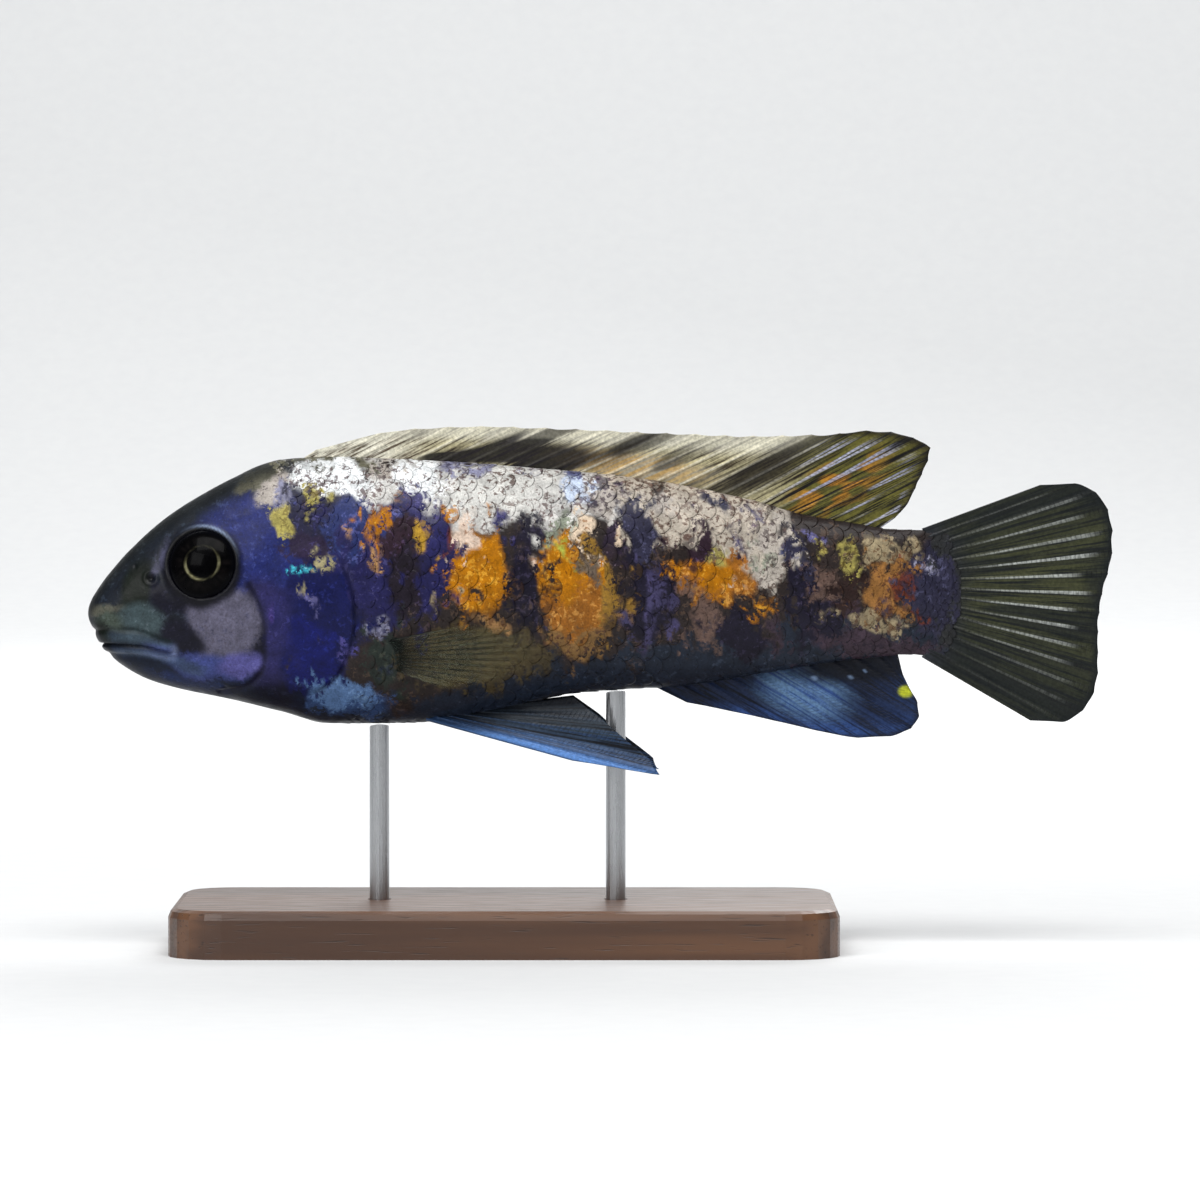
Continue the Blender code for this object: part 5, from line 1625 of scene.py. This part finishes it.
def sheet(name, rays, path, rows, ray_half, scallop, sway, seed, spines=0, notch=1.0, spread=1.0):
    """A fin. path(number, share) gives (along, out, up) arrays. Returns the piece and its places."""
    numbers = np.linspace(0, rays - 1, (rays - 1) * COLUMNS + 1)
    shares = np.linspace(0, 1, rows) ** 0.9
    number, share = np.meshgrid(numbers, shares, indexing="ij")
    offset = number - np.round(number)
    valley = np.sin(math.pi * np.abs(number - np.floor(number)))
    is_spine = number < spines - 0.5
    deep = np.where(number < spines - 1, notch, 1.0)
    torn = grain(np.column_stack([number[:, 0] * 2.3, number[:, 0] * 0]), 1.0, seed)[:, None]
    reach = 1 - scallop * deep * valley ** 0.8 * (0.6 + 0.8 * torn)
    centre = np.stack(path(number, share * reach), axis=-1)
    lengthwise = np.gradient(centre, axis=1)
    across = np.gradient(centre, axis=0)
    normal = np.cross(across, lengthwise)
    normal /= np.maximum(np.linalg.norm(normal, axis=-1, keepdims=True), 1e-9)
    forks = np.where(is_spine, 0.0, spread)
    ridge = ray_profile(offset, share, forks)
    thin = np.where(is_spine, 1 - 0.55 * share, 1 - 0.72 * share**0.8)
    half = MEMBRANE_HALF + (MARGIN_HALF - MEMBRANE_HALF) * share
    half = half + ray_half * thin * ridge
    ripple = sway * share * np.sin(math.pi * number) * np.where(is_spine, 0.4, 1.0)
    centre = centre + normal * ripple[..., None]
    front, back = centre + normal * half[..., None], centre - normal * half[..., None]
    points = np.concatenate([front.reshape(-1, 3), back.reshape(-1, 3)])
    shift = number.size
    faces = grid_faces(*number.shape)
    faces += [tuple(shift + corner for corner in face[::-1]) for face in faces]
    rim = rim_of(*number.shape)
    faces += [(one, shift + one, shift + two, two) for one, two in zip(rim, rim[1:] + rim[:1])]
    made = new_piece(name, place(*points.T), faces)
    face_outward(made.data)
    twice = {"number": np.tile(number.ravel(), 2), "share": np.tile(share.ravel(), 2),
             "ridge": np.tile(ridge.ravel(), 2), "along": points[:, 0], "up": points[:, 2],
             "spine": np.tile(is_spine.ravel(), 2)}
    steps = np.linalg.norm(np.diff(centre, axis=1, prepend=centre[:, :1]), axis=-1)
    twice["length"] = np.tile(np.cumsum(steps, axis=1).ravel(), 2)
    print(name, 2 * len(made.data.polygons), "triangles")
    return made, twice


print("columns between two rays:", COLUMNS)

# %% [markdown]
# Up close a fin is never one colour: fine dark and light streaks run with its rays. So each point
# stores the membrane's colour, the colour of the streaks in it and that of the ray, with how brightly
# the ray shows there. Noise in the fin's own measure, across by ray and along by share of its length,
# draws the streaks, and the distance along the ray draws its links. Alpha is used only on the fin
# that is nearly clear on the living fish.

# %% Finish of the fins
RAY_LINK = 0.62


def fin_finish(name, across=5.0, lengthwise=1.6, link_share=1.0, relief=0.04, ray_from=0.45,
               clear=False):
    tree = Tree(name)
    ridge, length = tree.attribute("ridge"), tree.attribute("ray_length")
    measure = tree.node("CombineXYZ", {
        "X": tree.times(tree.attribute("ray_number"), across),
        "Y": tree.times(tree.attribute("ray_share"), lengthwise)})
    streaks = tree.noise(1.0, 4.0, measure, rough=0.65)
    colour = tree.mix(tree.remap(streaks, 0.42, 0.62), tree.attribute("paint", "Color"),
                      tree.attribute("streak", "Color"))
    on_ray = tree.remap(ridge, ray_from, 0.9)
    broken = tree.remap(tree.noise(0.5, 3.0), 0.3, 0.6, 0.55, 1.0)
    shows = tree.times(on_ray, tree.times(tree.attribute("ray_lit"), broken))
    colour = tree.mix(shows, colour, tree.attribute("ray_paint", "Color"))
    wave = tree.sum("SINE", tree.times(length, 2 * math.pi / RAY_LINK))
    links = tree.times(tree.remap(wave, 0.55, 1.0, 0.0, link_share),
                       tree.times(ridge, tree.attribute("soft")))
    colour = tree.mix(tree.times(links, 0.35), colour, (0.01, 0.01, 0.012, 1.0))
    colour = tree.shaded(colour, tree.remap(tree.noise(0.35, 3.0), 0.3, 0.7, 0.8, 1.2))
    rough = tree.remap(tree.noise(0.9, 2.0), 0.3, 0.7, 0.34, 0.52)
    height = tree.sum("SUBTRACT", tree.noise(0.3, 2.0), tree.times(links, 1.5))
    inputs = {"Base_Color": colour, "Roughness": rough, "Normal": tree.bump(height, relief, 0.8),
              "Coat_Weight": 0.04, "Coat_Roughness": 0.2, "Specular_IOR_Level": 0.14}
    if clear:
        bony = tree.times(on_ray, tree.attribute("ray_cover"))
        inputs["Alpha"] = tree.sum("MAXIMUM", bony, tree.attribute("cover"))
    return tree.finish(**inputs)


print("one link of a ray:", RAY_LINK, "mm")

# %% [markdown]
# Every fin is coloured the same way: other colours are blended over a ground colour, by shares that
# depend on the place. Soft ellipses do for spots and bands, and noise drawn out along the rays does
# for streaks, so no fin needs a picture of its own.

# %% Colours of the fins
def store_fin(made, spots, paint, streak, ray, lit, cover=None, ray_cover=None):
    """Keeps a fin's colours and measures at its points. Colours may be one for the whole fin."""
    count = len(spots["share"])
    for name, colour in (("paint", paint), ("streak", streak), ("ray_paint", ray)):
        store(made.data, name, np.clip(np.broadcast_to(colour, (count, 3)), 0, 1))
    store(made.data, "ray_lit", np.clip(np.broadcast_to(lit, count), 0, 1))
    store(made.data, "ridge", spots["ridge"])
    for key in ("length", "number", "share"):
        store(made.data, "ray_" + key, spots[key])
    store(made.data, "soft", 1.0 - spots["spine"])
    if cover is not None:
        store(made.data, "cover", cover)
        store(made.data, "ray_cover", ray_cover)


def colours(*stops):
    return [ink(*stop) for stop in stops]


def blended(paint, share, colour):
    share = np.clip(np.broadcast_to(share, len(paint)), 0, 1)
    return paint + share[:, None] * (colour - paint)


def whole(colour, spots):
    """One colour for every point of a fin, to blend others over."""
    return np.tile(colour, (len(spots["share"]), 1))


def streaked(spots, across, lengthwise, seed):
    """Noise drawn out along the rays."""
    return grain(np.column_stack([spots["number"] * across, spots["share"] * lengthwise]), 1.0, seed)


def patch(spots, along, up, length, height, tilt, soft=0.5):
    """1 inside an ellipse on a fin and 0 outside it, with a soft edge."""
    turn = math.radians(tilt)
    x, y = spots["along"] - along, spots["up"] - up
    lengthwise = (x * math.cos(turn) + y * math.sin(turn)) / length
    crosswise = (y * math.cos(turn) - x * math.sin(turn)) / height
    return smooth(1 + soft, 1 - soft, np.hypot(lengthwise, crosswise))


print("helpers for the fins' colours ready")

# %% [markdown]
# The back fin is folded back, so its 17 spines and 9 soft rays slant far to the rear. Its skin is
# pale in front and cream behind, streaked along the rays, with a black wedge over its front root,
# partly its own dark colour and partly painted shadow at the root, a tan stretch in the middle and a
# dark slanting band before the soft part. That part is olive, glows orange in streaks, and has
# lavender rays.

# %% Back fin
DORSAL_SPINES, DORSAL_RAYS = 17, 26
DORSAL_ROOT = through([(0, 26.0), (16, 79.5), (25, 99.5)])
DORSAL_TIPS = [
    (0, 29.0, 19.05), (1, 37.3, 21.2), (2, 41.6, 21.75), (4, 50.0, 22.05), (7, 62.0, 21.7),
    (10, 73.5, 21.2), (13, 84.5, 20.85), (16, 95.4, 21.15), (17, 98.8, 21.5), (18, 101.9, 21.35),
    (19, 104.7, 20.6), (20, 106.9, 19.3), (21, 106.6, 17.7), (22, 105.8, 15.9), (23, 105.0, 14.2),
    (24, 104.0, 12.2), (25, 102.4, 10.4),
]
FIN_SUNK = 1.0


def dorsal_root(number):
    along = DORSAL_ROOT(number)
    return along, BACK(along) - FIN_SUNK


def dorsal_paint(spots):
    """Colours of membrane, streaks and rays, and how brightly the rays show."""
    cream, pale, olive, dark, black, tan, orange, brown, ivory, lavender = colours(
        (178, 170, 134), (214, 211, 194), (92, 88, 40), (30, 25, 18), (15, 14, 18), (172, 138, 84),
        (172, 118, 40), (50, 39, 28), (222, 217, 196), (164, 166, 186))
    share, along, up = spots["share"], spots["along"], spots["up"]
    rear = smooth(86.0, 92.0, along - 0.7 * (up - 15.0))
    paint = blended(whole(cream, spots), smooth(46.0, 36.0, along), pale)
    paint = blended(paint, 0.7 * smooth(0.5, 0.85, share), pale)
    streak = blended(whole(brown, spots), smooth(50.0, 38.0, along), brown * 2.2)
    streak = blended(streak, 0.55 * smooth(0.6, 0.85, share), pale)
    paint = blended(paint, 0.85 * patch(spots, 69.0, 16.9, 9.5, 1.7, -8), tan)
    streak = blended(streak, 0.4 * patch(spots, 70.0, 17.0, 9.0, 1.8, -8), ivory)
    # A black wedge over the front root: partly the fin's own dark colour, partly painted shadow where
    # the fin meets the back.
    dark_root_and_shadow = patch(spots, 49.5, 18.3, 6.5, 1.0, 3) + patch(spots, 58.5, 18.4, 8.0, 1.6, -2)
    dark_root_and_shadow = np.clip(dark_root_and_shadow + patch(spots, 52.5, 19.8, 4.0, 0.6, 25, 0.6), 0, 1)
    broad = smooth(0.56, 0.66, streaked(spots, 0.9, 1.3, 70)) * smooth(38.0, 46.0, along)
    dark_root_and_shadow = np.clip(dark_root_and_shadow + 0.8 * broad * smooth(84.0, 72.0, along), 0, 1)
    paint = blended(paint, 0.95 * dark_root_and_shadow, black)
    streak = blended(streak, 0.85 * dark_root_and_shadow, black * 2.5)
    band = patch(spots, 87.0, 17.0, 9.8, 1.9, 27) + patch(spots, 69.0, 19.9, 4.0, 0.7, 22)
    band = np.clip(band, 0, 1)
    paint = blended(paint, 0.95 * band, dark)
    streak = blended(streak, 0.85 * band, black)
    paint = blended(paint, rear, olive)
    streak = blended(streak, rear, black)
    glow = patch(spots, 95.0, 14.6, 6.0, 2.6, 28, 0.6) * smooth(0.5, 0.65, streaked(spots, 2.3, 9.0, 71))
    paint = blended(paint, 0.9 * rear * glow, orange)
    ray = blended(whole(ivory, spots), rear, lavender)
    dashes = smooth(0.3, 0.5, streaked(spots, 1.0, 3.0, 73))
    lit = 0.55 * (1 - rear) * (1 - dark_root_and_shadow) * (1 - 0.8 * band)
    lit = lit + 0.9 * rear * smooth(0.1, 0.3, share) * smooth(0.95, 0.75, share) * dashes
    rim = smooth(0.9, 1.0, share)
    paint = blended(paint, 0.9 * rim * (0.1 + 0.9 * rear), dark)
    streak = blended(streak, 0.9 * rim * (0.1 + 0.9 * rear), black)
    return paint, streak, ray, lit


dorsal, spots = sheet("back_fin", DORSAL_RAYS, middle_path(dorsal_root, DORSAL_TIPS), rows=44,
                      ray_half=0.15, scallop=0.012, sway=0.1, seed=3, spines=DORSAL_SPINES, notch=2.2)
store_fin(dorsal, spots, *dorsal_paint(spots))
dorsal.data.materials.append(fin_finish("back_fin_skin"))
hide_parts("fish_dorsal_fin")
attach(dorsal, "root")

# %% [markdown]
# The anal fin has three spines and eight soft rays. It is steel blue in front and below, dark slate
# near the body and navy behind, with three small pale specks, two of them painted highlights, and
# one yellow egg spot at its rear edge, the mark of a male.

# %% Anal fin
ANAL_SPINES, ANAL_RAYS = 3, 11
ANAL_ROOT = through([(0, 70.5), (3, 80.5), (10, 102.6)])
ANAL_TIPS = [
    (0, 76.0, -13.0), (1, 81.5, -14.1), (2, 87.0, -15.3), (3, 92.6, -16.6), (4, 97.8, -17.5),
    (5, 101.9, -17.3), (6, 104.5, -16.3), (7, 105.5, -14.7), (8, 105.3, -13.0), (9, 104.4, -11.4),
    (10, 103.4, -9.4),
]


def anal_root(number):
    along = ANAL_ROOT(number)
    return along, BELLY(along) + FIN_SUNK


def anal_paint(spots):
    steel, blue, navy, slate, egg, pale = colours(
        (88, 118, 152), (46, 72, 126), (25, 36, 62), (14, 17, 25), (176, 182, 46), (104, 124, 154))
    share, along = spots["share"], spots["along"]
    paint, streak = whole(navy, spots), whole(slate, spots)
    low = smooth(0.5, 0.95, share) * smooth(78.0, 85.0, along)
    paint, streak = blended(paint, low, blue), blended(streak, low, navy)
    shine = patch(spots, 91.2, -11.6, 5.6, 3.0, -14)
    paint, streak = blended(paint, shine, steel), blended(streak, shine, blue)
    rear = patch(spots, 101.5, -12.0, 6.0, 4.5, 0)
    base = patch(spots, 97.5, -8.6, 9.0, 1.9, 4)
    paint, streak = blended(paint, 0.8 * rear, navy), blended(streak, 0.6 * rear, slate)
    paint, streak = blended(paint, 0.95 * base, slate), blended(streak, 0.95 * base, slate)
    # Three small pale specks: the first two are painted highlights, the last a pale spot of the fin.
    for spot_along, spot_up, size in ((92.2, -9.9, 0.25), (96.8, -9.8, 0.2), (98.6, -9.0, 0.15)):
        spot = 0.8 * patch(spots, spot_along, spot_up, 1.6 * size, size, 0)
        paint, streak = blended(paint, spot, pale), blended(streak, spot, pale)
    spot = patch(spots, 103.8, -11.6, 0.9, 0.7, 0, 0.35)
    paint, streak = blended(paint, spot, egg), blended(streak, spot, egg)
    rim = 0.7 * smooth(0.93, 1.0, share)
    lit = 0.35 * shine * (1 - base) * (1 - spot)
    return blended(paint, rim, slate), blended(streak, rim, slate), steel * 1.25, lit


anal, spots = sheet("anal_fin", ANAL_RAYS, middle_path(anal_root, ANAL_TIPS), rows=44,
                    ray_half=0.16, scallop=0.008, sway=0.1, seed=5, spines=ANAL_SPINES, notch=1.2)
store_fin(anal, spots, *anal_paint(spots))
blue_fin_finish = fin_finish("blue_fin_skin")
anal.data.materials.append(blue_fin_finish)
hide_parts("fish_anal_fin")
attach(anal, "root")

# %% [markdown]
# The tail fin fans out from the rounded end of the tail stem. Its skin is nearly black olive, and
# the middle stretch of each ray shines pale grey, most of all in the middle of the fan, which gives
# it its stripes.

# %% Tail fin
CAUDAL_RAYS = 16
CAUDAL_TIPS = [
    (0, 120.8, 14.6), (1, 125.2, 14.8), (2, 127.8, 13.7), (3, 129.4, 11.5), (4, 130.0, 8.8),
    (5, 129.95, 6.0), (6, 129.4, 3.3), (7, 128.7, 0.8), (9, 128.2, -4.0), (11, 128.2, -9.2),
    (12, 127.7, -11.7), (13, 126.3, -14.0), (14, 123.7, -15.5), (15, 119.6, -15.3),
]
TAIL_SUNK, TAIL_ROOT_SHARE = 1.2, 0.97


def caudal_root(number):
    turn = 1 - 2 * number / (CAUDAL_RAYS - 1)
    along = TAIL_ARC_BACK + TAIL_ARC_BULGE * (1 - turn**2) - TAIL_SUNK
    return along, TAIL_ARC_LEVEL + TAIL_ARC_HALF * turn * TAIL_ROOT_SHARE


def caudal_paint(spots):
    olive, black, shine, slate = colours((64, 66, 43), (25, 29, 30), (172, 176, 172), (42, 44, 50))
    share, number = spots["share"], spots["number"]
    middle = hump(number - 6.6, 4.2)
    near_ray = smooth(0.1, 0.6, spots["ridge"])
    tinged = np.maximum(0.6 * near_ray, smooth(0.45, 0.65, streaked(spots, 0.8, 1.6, 95)))
    paint = blended(whole(black, spots), (0.2 + 0.7 * middle) * (0.3 + 0.7 * tinged), olive)
    streak = whole(black * 0.8, spots)
    root = smooth(0.22, 0.0, share)
    paint, streak = blended(paint, root, slate), blended(streak, root, black)
    ray = np.round(number)
    reach = 0.86 + 0.1 * grain(np.column_stack([ray, 0 * number]), 1.0, 94)
    gleam = 0.6 + 0.6 * grain(np.column_stack([ray, share * 3.0]), 1.0, 92)
    lit = smooth(0.12, 0.42, share) * smooth(reach, reach - 0.14, share) * middle * gleam
    rim = smooth(0.94, 1.0, share)
    return blended(paint, rim, black), streak, shine, 0.95 * lit


caudal, spots = sheet("tail_fin", CAUDAL_RAYS, middle_path(caudal_root, CAUDAL_TIPS), rows=72,
                      ray_half=0.2, scallop=0.006, sway=0.15, seed=7, spread=0.22)
store_fin(caudal, spots, *caudal_paint(spots))
caudal.data.materials.append(fin_finish("tail_fin_skin", ray_from=0.62))
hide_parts("fish_tail_fin")
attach(caudal, "root")

# %% [markdown]
# The pectoral fins are nearly clear paddles that lie back over the flank. Only their fine dark rays
# and a touch of olive show, so this fin lets the flank show through its membrane.

# %% Pectoral fins
PECTORAL_RAYS = 13
PECTORAL_ROOT = (38.0, -4.9), (39.2, -8.6)
PECTORAL_TIPS = [
    (0, 49.0, -2.6), (2, 54.0, -3.0), (4, 57.0, -4.4), (6, 57.4, -6.2), (8, 55.6, -8.2),
    (10, 51.8, -9.9), (12, 45.6, -10.9),
]
PECTORAL_LIFT = through([(0.0, -1.2), (0.12, 0.9), (0.4, 1.7), (1.0, 2.8)])


def pectoral_path(side):
    def path(number, share):
        down = number / (PECTORAL_RAYS - 1)
        root = between(*PECTORAL_ROOT, down)
        tip = [keyed(PECTORAL_TIPS, column)(number) for column in (1, 2)]
        along, up = between(root, tip, share)
        return along, side * (side_out(along, up) + PECTORAL_LIFT(share)), up

    return path


def pectoral_paint(spots):
    olive, dark, ray, far, root = colours(
        (104, 106, 84), (58, 62, 52), (15, 18, 17), (124, 112, 70), (26, 34, 30))
    share = spots["share"]
    near = smooth(0.4, 0.1, share)
    paint = blended(whole(olive, spots), smooth(0.5, 0.9, share), far)
    streak = blended(whole(dark, spots), smooth(0.2, 0.8, share), olive)
    return blended(paint, near, root), blended(streak, near, root), ray, 1.0


def pectoral_cover(spots):
    """How much membrane and rays hide of the flank behind them."""
    share = spots["share"]
    membrane = 0.14 + 0.3 * smooth(0.2, 0.0, share)
    membrane = membrane * smooth(1.0, 0.8, share) + 0.03
    return membrane, 0.95 * smooth(0.9, 0.5, share)


pectoral_finish = fin_finish("pectoral_fin_skin", across=2.5, lengthwise=1.5, link_share=0.0,
                             relief=0.008, clear=True)
for side, word in SIDES:
    fin, spots = sheet("pectoral_fin_" + word, PECTORAL_RAYS, pectoral_path(side), rows=48,
                       ray_half=0.1, scallop=0.02, sway=0.08, seed=9)
    store_fin(fin, spots, *pectoral_paint(spots), *pectoral_cover(spots))
    fin.data.materials.append(pectoral_finish)
    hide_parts("fish_pectoral_fin_" + word)
    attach(fin, "root")

# %% [markdown]
# The pelvic fins trail under the breast, each with a spine and five soft rays, the first of them
# drawn out into a point. They are dark blue grey with a bright blue front edge.

# %% Pelvic fins
PELVIC_RAYS = 6
PELVIC_ROOT = (43.0, -15.0, 3.0), (48.5, -13.8, 1.6)
PELVIC_TIPS = [
    (0, 61.5, -20.0, 5.6), (1, 72.5, -21.8, 6.0), (2, 71.8, -20.4, 5.2), (3, 68.0, -17.3, 4.3),
    (4, 65.0, -14.7, 3.2), (5, 61.6, -12.2, 2.0),
]


def pelvic_path(side):
    def path(number, share):
        rear = number / (PELVIC_RAYS - 1)
        root = between(*PELVIC_ROOT, rear)
        tip = [keyed(PELVIC_TIPS, column)(number) for column in (1, 2, 3)]
        along, up, out = between(root, tip, share)
        return along, side * out, up

    return path


def pelvic_paint(spots):
    slate, blue, bright, dark = colours((42, 52, 62), (54, 82, 124), (92, 134, 196), (14, 17, 24))
    number, share = spots["number"], spots["share"]
    paint = blended(whole(slate, spots), smooth(3.2, 1.2, number), blue)
    streak = blended(whole(dark, spots), smooth(2.0, 0.6, number), blue)
    edge = smooth(1.25, 0.6, number) * smooth(0.1, 0.45, share)
    paint, streak = blended(paint, 0.85 * edge, bright), blended(streak, 0.6 * edge, bright)
    base = smooth(0.4, 0.1, share)
    paint = blended(paint, 0.6 * base, dark)
    rear = smooth(3.0, 5.0, number)
    paint, streak = blended(paint, 0.7 * rear, dark), blended(streak, 0.5 * rear, dark)
    return paint, streak, blue * 1.6, 0.4 * smooth(4.5, 1.5, number)


for side, word in SIDES:
    fin, spots = sheet("pelvic_fin_" + word, PELVIC_RAYS, pelvic_path(side), rows=56, ray_half=0.15,
                       scallop=0.006, sway=0.12, seed=11, spines=1)
    store_fin(fin, spots, *pelvic_paint(spots))
    fin.data.materials.append(blue_fin_finish)
    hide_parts("fish_pelvic_fin_" + word)
    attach(fin, "root")

# %% [markdown]
# The stand is a small plate of oiled hardwood with two steel rods. The solids already have the right
# shape, so they stay and only get their finishes. Wood is rings round a tree's heart: a wavy pattern
# of bands that runs along the plate, with broad streaks of noise over it and finer ones for the
# pores. Steel has fine lines along the rod, as brushing leaves them.

# %% Wood and steel
def oiled_wood():
    tree = Tree("oiled_walnut")
    places = tree.squeezed(0.05, 0.55, 1.0)
    streaks = tree.noise(7.0, 3.0, places)
    rings = tree.node("TexWave", {"Vector": places, "Scale": 0.16, "Distortion": 5.0, "Detail": 3.0,
                                  "Detail Scale": 1.2}, output="Fac", bands_direction="Y")
    pores = tree.noise(0.35, 2.0, tree.squeezed(0.06, 1.0, 1.0))
    tone = tree.sum("ADD", tree.times(rings, 0.35), tree.times(streaks, 0.65))
    colour = tree.mix(tree.remap(tone, 0.2, 0.8), rgb(68, 44, 30), rgb(106, 72, 48))
    dark_pores = tree.remap(pores, 0.6, 0.72)
    colour = tree.mix(tree.times(dark_pores, 0.6), colour, rgb(36, 22, 14))
    rough = tree.remap(pores, 0.3, 0.7, 0.34, 0.5)
    normal = tree.bump(tree.sum("SUBTRACT", 1.0, dark_pores), 0.06, 0.6)
    return tree.finish(Base_Color=colour, Roughness=rough, Normal=normal, Coat_Weight=0.15,
                       Coat_Roughness=0.25)


def brushed_steel():
    tree = Tree("brushed_steel")
    lines = tree.noise(0.12, 3.0, tree.squeezed(1.0, 1.0, 0.03))
    tone = tree.mix(lines, rgb(168, 170, 174), rgb(206, 208, 210))
    rough = tree.remap(lines, 0.3, 0.7, 0.24, 0.38)
    return tree.finish(Base_Color=tone, Metallic=1.0, Roughness=rough, Normal=tree.bump(lines, 0.01))


wood, steel = oiled_wood(), brushed_steel()
for node, finish in (("stand_base", wood), ("stand_rod_front", steel), ("stand_rod_rear", steel)):
    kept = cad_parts[node]
    for slot in kept.material_slots:
        slot.material = finish
    print(node, "keeps its solid and takes", finish.name)
